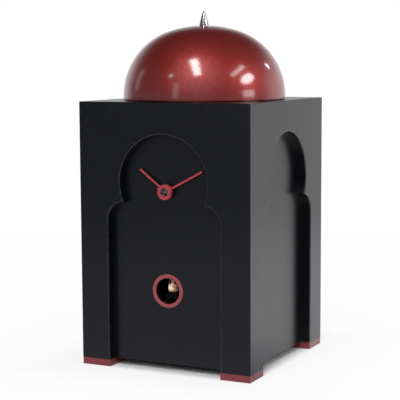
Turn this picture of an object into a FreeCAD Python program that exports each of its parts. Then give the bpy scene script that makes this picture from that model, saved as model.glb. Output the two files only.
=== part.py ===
"""Domed cuckoo table clock: four arched legs round a plain box, a round dome with a spike, and a bird
that comes out of a porthole under the dial.

Millimetres. The clock stands on z = 0, its centre is x = 0, y = 0, and its front faces -Y.
"""
import FreeCAD, Part
import math
import os

from FreeCAD import Vector

# Case
case_width = 220.0
arch_board = 12.0
inner_board = 6.0
top_board_thickness = 12.0
bottom_board_thickness = 9.0
edge_chamfer = 0.8
arris = 0.5
post_side = 18.0

# Arch opening, the same on all four sides. The board over it reaches up to the case's top.
arch_radius = 56.4
arch_centre_height = 220.8
board_over_arch = 36.8
leg_opening_width = 147.4
notch_drop = 22.9
shoulder_radius = 23.0

# Feet
foot_height = 8.5
foot_side = 37.5
foot_inset = 0.3

# Wood screws
screw_radius = 1.9
screw_head_radius = 3.8
screw_head_height = 2.4
foot_screw_length = 30.0
foot_screw_sink = 1.5
dome_screw_length = 32.0

# Dome, set back from the case's sides, and spike
dome_setback = 12.2
dome_flattening = 9.2
dome_skirt = 4.3
dome_shoulder_inset = 15.9
dome_shadow_gap = 1.0
dome_rim_width = 5.8
seat_land = 6.0
seat_thickness = 7.0
dome_wall = 31.8
dome_crown_thickness = 44.6
relief_step = 28.0
relief_top_depth = 18.0
dome_screw_inset = 13.0
spike_radius = 5.9
spike_height = 17.6
spike_tip_radius = 1.5
spike_bulge = 0.55
spike_stud_radius = 2.5
spike_stud_length = 11.0
joint_clearance = 0.1
screw_clearance = 0.15

# Porthole
porthole_height = 94.9
ring_radius = 20.4
ring_bore_radius = 15.3
ring_proud = 1.2
ring_sleeve_wall = 1.5
ring_sleeve_length = 8.0

# Hands, on an axis a little below the arch's centre
dial_drop = 9.8
hour_hand_length = 40.4
minute_hand_length = 53.8
hand_width = 2.7
hand_thickness = 1.2
hour_hand_angle = 307.4
minute_hand_angle = 62.2
hub_radius = 9.4
hub_height = 3.2
hub_web = 0.9
hub_hole_radius = 4.9
hour_hub_radius = 9.0
hand_gap = 0.6
hour_hand_offset = 3.3
nut_thickness = 0.9
nut_hole_radius = 0.8
nut_hole_offset = 3.0
tip_flat_width = 1.6

# Clock movement behind the dial
movement_side = 56.0
movement_depth = 13.0
movement_wall = 1.6
cover_thickness = 1.6
bush_radius = 3.9
bush_thread_length = 2.9
bush_flange_radius = 6.0
bush_flange_thickness = 1.0
bush_nut_width = 12.0
bush_nut_thickness = 2.2
pipe_radius = 2.5
arbor_radius = 1.6
arbor_tip_radius = 1.2
running_clearance = 0.05
wheel_thickness = 1.2
pinion_thickness = 1.6
axial_gap = 0.2
pinion_leaves = 6
minute_wheel_teeth = 18
hour_wheel_teeth = 24
motion_distance = 10.0
motion_arbor_radius = 1.0
pivot_depth = 0.8
knob_radius = 7.0
knob_thickness = 4.0
knob_bore_clearance = 0.02
board_thickness = 1.2
board_width = 46.0
board_height = 12.0
coil_radius = 3.2
coil_flange_radius = 3.8
coil_flange_thickness = 1.0
coil_length = 20.0
board_post_width = 2.0

# Tooth form, as shares of the module and of the pitch
addendum_share = 0.8
dedendum_share = 1.15
root_half_width_share = 0.22
tip_half_width_share = 0.1

# Cuckoo unit
carriage_width = 10.0
carriage_thickness = 3.0
carriage_length = 60.0
carriage_top_drop = 6.5
carriage_front_gap = 2.0
slide_clearance = 0.15
rail_wall = 2.0
rail_ledge = 1.8
rail_lip = 1.3
rail_gap_width = 6.0
rail_length = 68.0
bearing_drop = 5.0
bearing_length = 12.0
flange_width = 54.0
flange_height = 58.0
flange_thickness = 2.2
flange_screw_inset = 5.0
rack_teeth = 14
rack_module = 0.8
rack_width = 5.0
drive_pinion_teeth = 12
drive_pinion_width = 4.4
drive_shaft_radius = 1.5
drive_pinion_setback = 34.0
gearbox_width = 13.0
gearbox_length = 26.0
gearbox_height = 26.0
gearbox_foot_drop = 8.0
motor_radius = 6.2
motor_length = 20.0
chassis_screw_radius = 1.4
chassis_screw_head_radius = 2.7
chassis_screw_head_height = 1.6
chassis_screw_length = 6.5

# Bird
bird_height = 16.2
bird_width = 12.2
bird_length = 14.0
bird_overhang = 3.5
bird_leg_radius = 1.0
bird_leg_gap = 3.2
bird_tail_length = 6.0
bird_tail_thickness = 1.8
beak_radius = 1.6
beak_length = 4.2
beak_sink = 1.6

# The bird's sections from its breast up: height, half width, half depth and how far back, as shares of
# its height, width, depth and depth
bird_section_shares = (
    (0.0, 0.41, 0.34, 0.02),
    (0.14, 0.5, 0.46, 0.0),
    (0.34, 0.485, 0.5, -0.02),
    (0.52, 0.4, 0.43, -0.05),
    (0.66, 0.27, 0.31, -0.1),
    (0.79, 0.24, 0.27, -0.14),
    (0.91, 0.2, 0.22, -0.15),
    (1.0, 0.1, 0.11, -0.14),
)
bird_drop_share = 0.1975
head_height_share = 0.83
beak_dip_share = 0.25
tail_height_share = 0.4
tail_narrow_share = 0.36
tail_wide_share = 0.6

# Speaker over the holes in the bottom board
speaker_radius = 28.5
speaker_flange_width = 3.5
speaker_flange_thickness = 1.5
speaker_depth = 14.0
speaker_throat_radius = 13.0
speaker_wall = 1.0
magnet_radius = 14.0
magnet_height = 8.0
magnet_plate = 1.6
cone_thickness = 0.6
cone_lift = 0.6
voice_radius = 7.0
speaker_centre_y = -30.0
sound_slot_width = 2.4
sound_slot_gap = 3.6
sound_slot_length = 26.0

# Battery holder
cell_radius = 7.1
cell_length = 49.5
cell_cap_radius = 2.7
cell_cap_length = 1.0
cell_count = 3
cell_gap = 0.6
holder_wall = 1.5
holder_height = 13.0
holder_end_gap = 3.0
holder_back_gap = 6.0
contact_thickness = 0.5
contact_width = 9.0
contact_bow_width = 4.0

# Control box with the mode switch
control_width = 34.0
control_depth = 18.0
control_height = 26.0
control_wall = 1.5
control_panel_gap = 8.0
control_post_gap = 3.0
switch_length = 7.0
switch_width = 4.0
switch_height = 3.0
switch_stem_length = 3.4
switch_stem_width = 2.4
switch_travel = 5.0

# Rear access door, hung on a pin at its top and one at its bottom
door_post_gap = 28.0
door_bottom = 22.0
door_height = 228.0
door_gap = 0.4
door_pin_radius = 1.3
door_pin_sink = 7.0
door_pin_reach = 5.0
door_knob_radius = 6.5
door_knob_stem_radius = 3.2
door_knob_length = 9.0
door_knob_cap = 4.0
door_knob_setback = 10.0
catch_width = 16.0
catch_height = 14.0
catch_depth = 8.0
catch_overlap = 6.0

# How far a cutting shape runs past what it cuts
overrun = 1.0

# How many flats or steps stand for a round form, which keeps small and hidden pieces light
dome_sides = 64
dome_shoulder_steps = 9
dome_crown_steps = 3
spike_sides = 24
spike_steps = 4
ring_sides = 56
hub_sides = 44
seat_sides = 32
shaft_sides = 20
hidden_sides = 16
bird_sides = 10
screw_sides = 8
leg_sides = 6
dome_screw_count = 4

# Places worked out from the sizes above
half = case_width / 2
inner_half = half - arch_board
panel_half = inner_half - inner_board
dial_y = -inner_half
panel_back_y = dial_y + inner_board
arch_top = arch_centre_height + arch_radius
case_top = arch_top + board_over_arch
notch_height = arch_centre_height - notch_drop
dial_height = arch_centre_height - dial_drop
under_top_board = case_top - top_board_thickness
door_half = panel_half - post_side - door_post_gap
door_top = door_bottom + door_height
door_axis_x = inner_board / 2 - door_half
door_axis_y = inner_half - inner_board / 2
floor_of_case = foot_height + bottom_board_thickness
post_centre = panel_half - post_side / 2
foot_edge = half - foot_inset
foot_centre = foot_edge - foot_side / 2
leg_edge = leg_opening_width / 2
dome_radius = half - dome_setback
dome_height = dome_radius - dome_flattening
dome_shoulder_radius = dome_radius - dome_shoulder_inset
seat_radius = dome_radius - dome_rim_width
relief_radius = dome_radius - dome_wall
relief_depth = dome_height - dome_crown_thickness
relief_top_radius = relief_radius - relief_step
seat_bore_radius = relief_radius - seat_land
dome_screw_circle_radius = seat_radius - dome_screw_inset

RIGHT = Vector(1, 0, 0)
BACK = Vector(0, 1, 0)
UP = Vector(0, 0, 1)
CENTRE = Vector(0, 0, 0)
QUARTER_TURN = 90.0
FULL_TURN = 360.0
SIGNS = (-1, 1)


def block(x, y, z):
    """A box between the two ends of each range."""
    corner = Vector(x[0], y[0], z[0])
    return Part.makeBox(x[1] - x[0], y[1] - y[0], z[1] - z[0], corner)


def centred(place, size):
    """The range of one size centred on a place."""
    return (place - size / 2, place + size / 2)


def rod(radius, length, start, direction):
    return Part.makeCylinder(radius, length, start, direction)


def ring_of(radius, sides, height):
    """The corners of a regular figure round the Z axis."""
    corners = []
    for index in range(sides):
        angle = index * 2 * math.pi / sides
        corners.append(Vector(radius * math.cos(angle), radius * math.sin(angle), height))
    return corners


def bar(radius, sides, length, start, direction):
    """A regular many-sided bar whose corners lie on a radius."""
    corners = ring_of(radius, sides, 0)
    solid = Part.Face(Part.makePolygon(corners + corners[:1])).extrude(UP * length)
    solid.Placement = FreeCAD.Placement(start, FreeCAD.Rotation(UP, direction))
    return solid


def around(radius, sides):
    """The corner radius of a many-sided hole whose flats just clear a round bar of one radius."""
    return radius / math.cos(math.pi / sides)


def flat_facet(corners):
    """A flat face on three or four corners, leaving out any that coincide."""
    distinct = []
    for corner in corners:
        if all(corner.distanceToPoint(other) > 1e-6 for other in distinct):
            distinct.append(corner)
    return Part.Face(Part.makePolygon(distinct + distinct[:1])) if len(distinct) > 2 else None


def solid_of(faces):
    solid = Part.Solid(Part.Shell([face for face in faces if face]))
    if solid.Volume < 0:
        solid.reverse()
    return solid.removeSplitter()


def many_sided(profile, sides, start, direction):
    """Flat facets over the rings that a closed outline of points (radius, height) makes round a line."""
    rings = [ring_of(radius, sides, height) for radius, height in profile]
    faces = []
    for first, last in zip(rings, rings[1:] + rings[:1]):
        if first[0].x == 0 and last[0].x == 0:
            continue
        for index in range(sides):
            after = (index + 1) % sides
            faces.append(flat_facet([first[index], first[after], last[after], last[index]]))
    solid = solid_of(faces)
    solid.Placement = FreeCAD.Placement(start, FreeCAD.Rotation(UP, direction))
    return solid


def skinned(rings):
    """Triangles between rings of as many points each, and a flat end on the first and the last."""
    faces = [Part.Face(Part.makePolygon(ring + ring[:1])) for ring in (rings[0], rings[-1])]
    for first, last in zip(rings, rings[1:]):
        for index in range(len(first)):
            after = (index + 1) % len(first)
            faces.append(flat_facet([first[index], first[after], last[index]]))
            faces.append(flat_facet([first[after], last[after], last[index]]))
    return solid_of(faces)


def plate(points, thickness):
    """A plate from points (x, z) at y = 0, thickened towards +Y."""
    corners = [Vector(x, 0, z) for x, z in points]
    return Part.Face(Part.makePolygon(corners + corners[:1])).extrude(BACK * thickness)


def moved(shape, place):
    copy = shape.copy()
    copy.translate(place)
    return copy


def turned_about(shape, place, axis, angle):
    copy = shape.copy()
    copy.rotate(place, axis, angle)
    return copy


def fused(shapes):
    return shapes[0].fuse(shapes[1:]).removeSplitter()


def save(node, shape):
    shape.exportStep(os.path.join("parts", node + ".step"))


def save_group(node, solids):
    save(node, Part.makeCompound(solids))


# Toothed wheels, in the XZ plane for the clock and turned to other planes where they need it

def tooth_outline(teeth, module):
    """Points (x, z) of a wheel whose first tooth points up."""
    pitch_radius = teeth * module / 2
    root = (pitch_radius - dedendum_share * module, root_half_width_share)
    tip = (pitch_radius + addendum_share * module, tip_half_width_share)
    pitch = 2 * math.pi / teeth
    points = []
    for tooth in range(teeth):
        for side, run in ((-1, (root, tip)), (1, (tip, root))):
            for radius, half_share in run:
                angle = (tooth + side * half_share) * pitch
                points.append((radius * math.sin(angle), radius * math.cos(angle)))
    return points


def toothed_wheel(teeth, module, thickness, centre, first_tooth):
    """A wheel on a centre, from its y towards +Y, whose first tooth points at a clockwise angle from up."""
    wheel = plate(tooth_outline(teeth, module), thickness)
    wheel.rotate(CENTRE, BACK, first_tooth)
    wheel.translate(centre)
    return wheel


def module_for(teeth_a, teeth_b, distance):
    return 2 * distance / (teeth_a + teeth_b)


# Screws

def wood_screw(radius, head_radius, head_height, length, start, direction):
    """A countersunk screw whose flat head starts at a place and whose point lies along a direction."""
    profile = (
        (0, 0),
        (head_radius, 0),
        (radius, head_height),
        (radius, length - 2 * radius),
        (0, length),
    )
    return many_sided(profile, screw_sides, start, direction)


def screw_hole(radius, head_radius, head_height, length, start, direction, sink):
    """The space for a countersunk screw, open behind its head."""
    wide = head_radius + screw_clearance
    narrow = radius + screw_clearance
    profile = (
        (0, -sink),
        (wide, -sink),
        (wide, 0),
        (narrow, head_height),
        (narrow, length),
        (0, length + narrow),
    )
    return many_sided(profile, screw_sides, start, direction)


# Case

def arch_space(reach):
    """The round-headed doorway with a round dial opening above, cut right through along Y."""
    disc = rod(arch_radius, 2 * reach, Vector(0, -reach, arch_centre_height), BACK)
    doorway = block((-leg_edge, leg_edge), (-reach, reach), (foot_height - overrun, notch_height))
    high = [
        edge for edge in doorway.Edges
        if abs(edge.tangentAt(edge.FirstParameter).dot(BACK)) > 0.99 and edge.CenterOfMass.z > arch_board + foot_height
    ]
    return fused([doorway.makeFillet(shoulder_radius, high), disc])


def eased_case():
    """The whole outer form, whose upright and upper edges are slightly eased."""
    form = block((-half, half), (-half, half), (foot_height, case_top))
    edges = [edge for edge in form.Edges if edge.CenterOfMass.z > foot_height]
    return form.makeChamfer(edge_chamfer, edges)


def front_arch_panel():
    """A board with mitred ends, so that four of them close into a square."""
    plan = [(-half, -half), (half, -half), (inner_half, -inner_half), (-inner_half, -inner_half)]
    corners = [Vector(x, y, foot_height) for x, y in plan]
    board = Part.Face(Part.makePolygon(corners + corners[:1])).extrude(UP * (case_top - foot_height))
    panel = board.common(eased_case()).cut(arch_space(half + overrun))
    front_rim = []
    for edge in panel.Edges:
        limits = edge.BoundBox
        in_front = limits.YMax < -half + arris
        inside = limits.XMax < leg_edge + arris and limits.XMin > -leg_edge - arris
        below_top = foot_height + arris < limits.ZMax < arch_top + arris
        if in_front and inside and below_top:
            front_rim.append(edge)
    return panel.makeChamfer(arris, front_rim)


def porthole_space(radius):
    """A hole right through at the porthole, whose flats clear a sleeve of one radius."""
    corner = around(radius, ring_sides)
    return bar(corner, ring_sides, 2 * half, Vector(0, -half, porthole_height), BACK)


def front_inner_panel():
    panel = block((-inner_half, inner_half), (dial_y, panel_back_y), (foot_height, under_top_board))
    sleeve = porthole_space(ring_bore_radius + ring_sleeve_wall + joint_clearance)
    neck = dial_hole(bush_radius + joint_clearance)
    return panel.cut(sleeve).cut(neck).cut(fused(chassis_screws(joint_clearance)))


def rear_inner_panel():
    """The rear board, with the doorway and a blind hole above and below it for the door's pins."""
    panel = block((-inner_half, inner_half), (panel_half, inner_half), (foot_height, under_top_board))
    doorway = block(
        (-door_half - door_gap, door_half + door_gap),
        (panel_half - overrun, inner_half + overrun),
        (door_bottom - door_gap, door_top + door_gap),
    )
    radius = around(door_pin_radius + running_clearance, shaft_sides)
    reach = door_pin_reach + axial_gap
    pin_holes = bar(
        radius, shaft_sides, door_height + 2 * (door_gap + reach),
        Vector(door_axis_x, door_axis_y, door_bottom - door_gap - reach), UP
    )
    return panel.cut(doorway).cut(pin_holes)


def side_inner_panel(side):
    across = sorted((side * inner_half, side * panel_half))
    return block(across, (-panel_half, panel_half), (foot_height, under_top_board))


def top_board():
    board = block((-inner_half, inner_half), (-inner_half, inner_half), (under_top_board, case_top))
    return board.cut(fused(dome_screw_holes()))


def sound_slots():
    """A row of slots under the speaker's cone."""
    slots = []
    pitch = sound_slot_width + sound_slot_gap
    for index in (-2, -1, 0, 1, 2):
        slots.append(block(
            centred(index * pitch, sound_slot_width),
            centred(speaker_centre_y, sound_slot_length),
            (foot_height - overrun, floor_of_case + overrun),
        ))
    return slots


def bottom_board():
    board = block((-panel_half, panel_half), (-panel_half, panel_half), (foot_height, floor_of_case))
    screws = [foot_screw_hole(side_x, side_y) for side_x in SIGNS for side_y in SIGNS]
    return board.cut(fused(sound_slots())).cut(fused(screws))


def corner_posts():
    solids = []
    for side_x in SIGNS:
        for side_y in SIGNS:
            post = block(
                centred(side_x * post_centre, post_side),
                centred(side_y * post_centre, post_side),
                (floor_of_case, under_top_board),
            )
            solids.append(post.cut(foot_screw_hole(side_x, side_y)))
    return solids


def foot(side_x, side_y):
    shape = block(
        centred(side_x * foot_centre, foot_side),
        centred(side_y * foot_centre, foot_side),
        (0, foot_height),
    )
    return shape.cut(foot_screw_hole(side_x, side_y))


def foot_screw_sizes(side_x, side_y):
    """The sizes of the screw that goes up through one foot and the bottom board into the post."""
    start = Vector(side_x * post_centre, side_y * post_centre, foot_screw_sink)
    return (screw_radius, screw_head_radius, screw_head_height, foot_screw_length, start, UP)


def foot_screws():
    return [wood_screw(*foot_screw_sizes(side_x, side_y)) for side_x in SIGNS for side_y in SIGNS]


def foot_screw_hole(side_x, side_y):
    return screw_hole(*foot_screw_sizes(side_x, side_y), foot_screw_sink + overrun)


# Dome

def dome_screw_sizes():
    """The sizes of the screws that go up through the top board and the seat into the dome's wall."""
    sizes = []
    for index in range(dome_screw_count):
        angle = (index + 0.5) * 2 * math.pi / dome_screw_count
        x = dome_screw_circle_radius * math.cos(angle)
        y = dome_screw_circle_radius * math.sin(angle)
        start = Vector(x, y, under_top_board + screw_head_height / 2)
        sizes.append((screw_radius, screw_head_radius, screw_head_height, dome_screw_length, start, UP))
    return sizes


def dome_screws():
    return [wood_screw(*sizes) for sizes in dome_screw_sizes()]


def dome_screw_holes():
    return [screw_hole(*sizes, screw_head_height) for sizes in dome_screw_sizes()]


def crown_place():
    """The radius of the dome's crown arc and the height of its centre, tangent to the shoulder arc."""
    reach = dome_height - dome_shoulder_radius
    centre = (reach ** 2 - dome_shoulder_inset ** 2 - dome_skirt ** 2) / (2 * (reach - dome_skirt))
    return dome_height - centre, centre


def dome_curve():
    """Points (radius, height) up the dome: the straight skirt, the shoulder arc and the flatter crown arc."""
    crown_radius, crown_z = crown_place()
    join = math.atan2(dome_skirt - crown_z, dome_shoulder_inset)
    top = math.acos(spike_radius / crown_radius)
    points = [(dome_radius, dome_shadow_gap)]
    for step in range(dome_shoulder_steps + 1):
        angle = join * step / dome_shoulder_steps
        points.append((
            dome_shoulder_inset + dome_shoulder_radius * math.cos(angle),
            dome_skirt + dome_shoulder_radius * math.sin(angle),
        ))
    for step in range(1, dome_crown_steps + 1):
        angle = join + (top - join) * step / dome_crown_steps
        points.append((crown_radius * math.cos(angle), crown_z + crown_radius * math.sin(angle)))
    return points


def dome():
    """The turned wooden dome, with a rebate for the seat, a hollowed inside and a hole for the spike's stud."""
    curve = dome_curve()
    base = Vector(0, 0, case_top)
    profile = [(0, dome_shadow_gap)] + curve + [(0, curve[-1][1])]
    solid = many_sided(profile, dome_sides, base, UP)
    rebate = bar(around(seat_radius + joint_clearance, seat_sides), seat_sides, seat_thickness, base, UP)
    relief = bar(relief_radius, seat_sides, relief_depth, base, UP)
    relief_top = bar(relief_top_radius, seat_sides, relief_depth + relief_top_depth, base, UP)
    stud_radius = around(spike_stud_radius + joint_clearance, screw_sides)
    stud = bar(stud_radius, screw_sides, spike_stud_length + overrun, spike_seat(), -UP)
    return solid.cut(fused([rebate, relief, relief_top])).cut(stud).cut(fused(dome_screw_holes()))


def spike_seat():
    """The middle of the small flat on top of the dome, where the spike stands."""
    return Vector(0, 0, case_top + dome_curve()[-1][1])


def seat_disc():
    """The ring under the dome, which lifts its rim off the case and leaves a shadow line."""
    profile = (
        (seat_bore_radius, 0),
        (seat_radius, 0),
        (seat_radius, seat_thickness),
        (seat_bore_radius, seat_thickness),
    )
    disc = many_sided(profile, seat_sides, Vector(0, 0, case_top), UP)
    return disc.cut(fused(dome_screw_holes()))


def spike():
    """A pointed spike with slightly bulging sides, an eased tip and a stud below."""
    tip_base = spike_height - spike_tip_radius
    profile = [
        (0, -spike_stud_length),
        (spike_stud_radius, -spike_stud_length),
        (spike_stud_radius, 0),
    ]
    for step in range(spike_steps + 1):
        share = step / spike_steps
        bulge = spike_bulge * 4 * share * (1 - share)
        profile.append((spike_radius + (spike_tip_radius - spike_radius) * share + bulge, tip_base * share))
    profile.append((spike_tip_radius / 2, spike_height - spike_tip_radius / 4))
    profile.append((0, spike_height))
    return many_sided(profile, spike_sides, spike_seat(), UP)


# Porthole

def porthole_ring():
    """A flanged sleeve: the flange stands a little proud of the panel and the sleeve runs back through it."""
    sleeve_radius = ring_bore_radius + ring_sleeve_wall
    profile = (
        (ring_bore_radius, ring_sleeve_length),
        (sleeve_radius, ring_sleeve_length),
        (sleeve_radius, 0),
        (ring_radius, 0),
        (ring_radius, -ring_proud),
        (ring_bore_radius, -ring_proud),
    )
    return many_sided(profile, ring_sides, Vector(0, dial_y, porthole_height), BACK)


# Hands, with the front of each one given as a distance in front of the dial panel

hour_hand_back_y = dial_y - hour_hand_offset
hour_hand_front_y = hour_hand_back_y - hand_thickness
hub_back_y = hour_hand_front_y - hand_gap
hub_front_y = hub_back_y - hub_height
nut_back_y = hub_back_y - hub_web
nut_front_y = nut_back_y - nut_thickness
dial_centre = Vector(0, 0, dial_height)


def at_dial(y):
    return Vector(0, y, dial_height)


def dial_hole(radius):
    """A hole right through at the dial's centre, whose flats clear a bar of one radius."""
    return bar(around(radius, shaft_sides), shaft_sides, case_width, at_dial(-half), BACK)


def tip_shape(clearance):
    """The flat-sided end of the minute arbor, or with a clearance the slot that fits over it."""
    return block(
        centred(0, 2 * (arbor_tip_radius + clearance)), (nut_front_y, hub_back_y),
        centred(dial_height, tip_flat_width + 2 * clearance)
    )


def hand_bar(length, inner, back_y, angle):
    shape = block(
        (-hand_width / 2, hand_width / 2),
        (back_y - hand_thickness, back_y),
        (dial_height + inner, dial_height + length),
    )
    return turned_about(shape, dial_centre, BACK, angle)


def hour_hand():
    hub = bar(hour_hub_radius, shaft_sides, hand_thickness, at_dial(hour_hand_front_y), BACK)
    pointer = hand_bar(hour_hand_length, 0, hour_hand_back_y, hour_hand_angle)
    return fused([hub, pointer]).cut(dial_hole(pipe_radius + running_clearance / 2))


def minute_hand():
    """The long hand, whose thick hub has a recess for the nut and a slot for the arbor's tip."""
    hub = bar(hub_radius, hub_sides, hub_height, at_dial(hub_front_y), BACK)
    recess = bar(hub_hole_radius, shaft_sides, hub_height - hub_web, at_dial(hub_front_y), BACK)
    pointer = hand_bar(minute_hand_length, hub_radius - hand_width / 2, hub_back_y, minute_hand_angle)
    return fused([hub, pointer]).cut(recess).cut(tip_shape(running_clearance / 2))


def hand_nut():
    """A round nut in the hub's recess, with two holes for a pin spanner."""
    radius = hub_hole_radius - joint_clearance
    nut = bar(radius, shaft_sides, nut_thickness, at_dial(nut_front_y), BACK)
    for side in SIGNS:
        place = at_dial(nut_front_y - overrun) + RIGHT * side * nut_hole_offset
        nut = nut.cut(bar(nut_hole_radius, leg_sides, nut_thickness + 2 * overrun, place, BACK))
    return nut.cut(tip_shape(running_clearance / 2))


# Clock movement. Its wheels lie in layers behind the case's front wall.

cavity_front_y = panel_back_y + movement_wall
case_back_y = panel_back_y + movement_depth
cover_back_y = case_back_y + cover_thickness
hour_wheel_y = cavity_front_y + bush_flange_thickness + axial_gap
minute_wheel_y = hour_wheel_y + wheel_thickness + 2 * axial_gap
cannon_pinion_y = minute_wheel_y - axial_gap
motion_centre = Vector(0, 0, dial_height - motion_distance)
minute_pair_module = module_for(pinion_leaves, minute_wheel_teeth, motion_distance)
hour_pair_module = module_for(pinion_leaves, hour_wheel_teeth, motion_distance)
movement_span = centred(0, movement_side)
movement_rise = centred(dial_height, movement_side)


def at_motion(y):
    return Vector(0, y, motion_centre.z)


def inset(limits, distance):
    return (limits[0] + distance, limits[1] - distance)


def movement_case():
    """A square tray, open to the rear, with a hole for the bush and a blind pivot hole for the motion wheel."""
    shell = block(movement_span, (panel_back_y, case_back_y), movement_rise)
    upright = [edge for edge in shell.Edges if abs(edge.tangentAt(edge.FirstParameter).dot(BACK)) > 0.99]
    shell = shell.makeChamfer(movement_wall, upright)
    cavity = block(
        inset(movement_span, movement_wall), (cavity_front_y, case_back_y + overrun),
        inset(movement_rise, movement_wall)
    )
    pivot_radius = around(motion_arbor_radius + running_clearance, shaft_sides)
    pivot_front = cavity_front_y - pivot_depth - axial_gap
    pivot = bar(pivot_radius, shaft_sides, pivot_depth + axial_gap + overrun, at_motion(pivot_front), BACK)
    return shell.cut(cavity).cut(dial_hole(bush_radius + joint_clearance)).cut(pivot)


def movement_cover():
    """The rear cover, with bearing holes for the minute arbor and the setting knob's arbor."""
    cover = block(movement_span, (case_back_y, cover_back_y), movement_rise)
    upright = [edge for edge in cover.Edges if abs(edge.tangentAt(edge.FirstParameter).dot(BACK)) > 0.99]
    cover = cover.makeChamfer(movement_wall, upright)
    knob_radius_of_hole = around(motion_arbor_radius + running_clearance, shaft_sides)
    knob_hole = bar(knob_radius_of_hole, shaft_sides, case_width, at_motion(panel_back_y), BACK)
    return cover.cut(dial_hole(arbor_radius + running_clearance)).cut(knob_hole)


def centre_bush():
    """The threaded neck that clamps the movement to the dial panel, flanged inside the tray."""
    front = dial_y - bush_thread_length
    flange_end = cavity_front_y + bush_flange_thickness
    body = bar(bush_radius, shaft_sides, flange_end - front, at_dial(front), BACK)
    flange = bar(bush_flange_radius, shaft_sides, bush_flange_thickness, at_dial(cavity_front_y), BACK)
    return fused([body, flange]).cut(dial_hole(pipe_radius + running_clearance))


def bush_nut():
    """A hexagonal nut on the bush, against the dial panel."""
    corner = around(bush_nut_width / 2, leg_sides)
    nut = bar(corner, leg_sides, bush_nut_thickness, at_dial(dial_y - bush_nut_thickness), BACK)
    return nut.cut(dial_hole(bush_radius + joint_clearance))


def minute_arbor():
    """The long arbor with its cannon pinion; its flat-sided tip carries the minute hand and the nut."""
    rear = cover_back_y - axial_gap
    body = bar(arbor_radius, shaft_sides, rear - hub_back_y, at_dial(hub_back_y), BACK)
    pinion = toothed_wheel(
        pinion_leaves, minute_pair_module, pinion_thickness, at_dial(cannon_pinion_y), 2 * QUARTER_TURN
    )
    return fused([body, tip_shape(0), pinion])


def hour_wheel():
    """The wheel on its long pipe, which carries the hour hand outside the dial."""
    wheel = toothed_wheel(
        hour_wheel_teeth, hour_pair_module, wheel_thickness, at_dial(hour_wheel_y),
        2 * QUARTER_TURN + FULL_TURN / hour_wheel_teeth / 2
    )
    length = hour_wheel_y - hour_hand_front_y + wheel_thickness
    pipe = bar(pipe_radius, shaft_sides, length, at_dial(hour_hand_front_y), BACK)
    return fused([wheel, pipe]).cut(dial_hole(arbor_radius + running_clearance))


def motion_wheel():
    """The wheel and pinion between the minute and hour hands, on the arbor that the setting knob turns."""
    wheel = toothed_wheel(
        minute_wheel_teeth, minute_pair_module, wheel_thickness, at_motion(minute_wheel_y),
        FULL_TURN / minute_wheel_teeth / 2
    )
    pinion_front = hour_wheel_y - axial_gap
    pinion = toothed_wheel(
        pinion_leaves, hour_pair_module, minute_wheel_y - pinion_front, at_motion(pinion_front), 0
    )
    front = cavity_front_y - pivot_depth
    rear = cover_back_y + knob_thickness
    arbor = bar(motion_arbor_radius, shaft_sides, rear - front, at_motion(front), BACK)
    return fused([wheel, pinion, arbor])


def setting_knob():
    """A twelve-sided grip on the rear end of the motion arbor."""
    start = cover_back_y + axial_gap
    length = knob_thickness - axial_gap
    knob = bar(knob_radius, 2 * leg_sides, length, at_motion(start), BACK)
    bore = around(motion_arbor_radius + knob_bore_clearance, shaft_sides)
    return knob.cut(bar(bore, shaft_sides, length, at_motion(start), BACK))


board_centre_height = dial_height + movement_side / 2 - movement_wall - board_height / 2 - overrun
board_back_y = case_back_y - axial_gap


def circuit_board():
    """The circuit board, on two posts that stand on the tray's front wall."""
    board = block(
        centred(0, board_width), (board_back_y - board_thickness, board_back_y),
        centred(board_centre_height, board_height)
    )
    posts = []
    for side in SIGNS:
        x = side * (board_width / 2 - board_post_width)
        length = board_back_y - board_thickness - cavity_front_y
        posts.append(block(
            centred(x, board_post_width), (cavity_front_y, cavity_front_y + length),
            centred(board_centre_height, board_post_width)
        ))
    return fused([board] + posts)


def coil():
    """The stepping motor's coil: a wound core between two flanges, against the circuit board."""
    y = board_back_y - board_thickness - coil_flange_radius
    flange = (y - coil_flange_radius, y + coil_flange_radius)
    rise = centred(board_centre_height, 2 * coil_flange_radius)
    start = Vector(-coil_length / 2, y, board_centre_height)
    winding = bar(coil_radius, screw_sides, coil_length, start, RIGHT)
    ends = []
    for side in SIGNS:
        outer = side * coil_length / 2
        ends.append(block(sorted((outer, outer - side * coil_flange_thickness)), flange, rise))
    return fused([winding] + ends)


# Cuckoo unit: a flanged chassis with two rails, a racked carriage that carries the bird, and its drive

carriage_top = porthole_height - carriage_top_drop
carriage_bottom = carriage_top - carriage_thickness
carriage_front_y = panel_back_y + ring_sleeve_length - inner_board + carriage_front_gap
rack_pitch_height = carriage_bottom - dedendum_share * rack_module
drive_pitch_radius = drive_pinion_teeth * rack_module / 2
drive_axis_height = rack_pitch_height - drive_pitch_radius
drive_y = panel_back_y + drive_pinion_setback
rail_front_y = panel_back_y + flange_thickness
rail_inside = carriage_width / 2 + slide_clearance
rail_outside = rail_inside + rail_wall
rail_top = carriage_top + slide_clearance + rail_lip
rail_bottom = carriage_bottom - slide_clearance - rail_ledge


def rail(side):
    """One C-shaped rail: the carriage's edge runs between its ledge and its lip."""
    inner = rail_gap_width / 2
    section = [
        (rail_outside, rail_bottom), (rail_outside, rail_top), (inner, rail_top),
        (inner, carriage_top + slide_clearance), (rail_inside, carriage_top + slide_clearance),
        (rail_inside, carriage_bottom - slide_clearance), (inner, carriage_bottom - slide_clearance),
        (inner, rail_bottom),
    ]
    shape = plate([(side * x, z) for x, z in section], rail_length)
    shape.translate(BACK * rail_front_y)
    ear = block(
        sorted((side * rail_inside, side * rail_outside)), centred(drive_y, bearing_length),
        (drive_axis_height - bearing_drop, rail_top)
    )
    slot = block(
        sorted((0, side * rail_inside)), centred(drive_y, bearing_length),
        (carriage_bottom - slide_clearance, carriage_top + slide_clearance)
    )
    return fused([shape, ear]).cut(slot)


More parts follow.
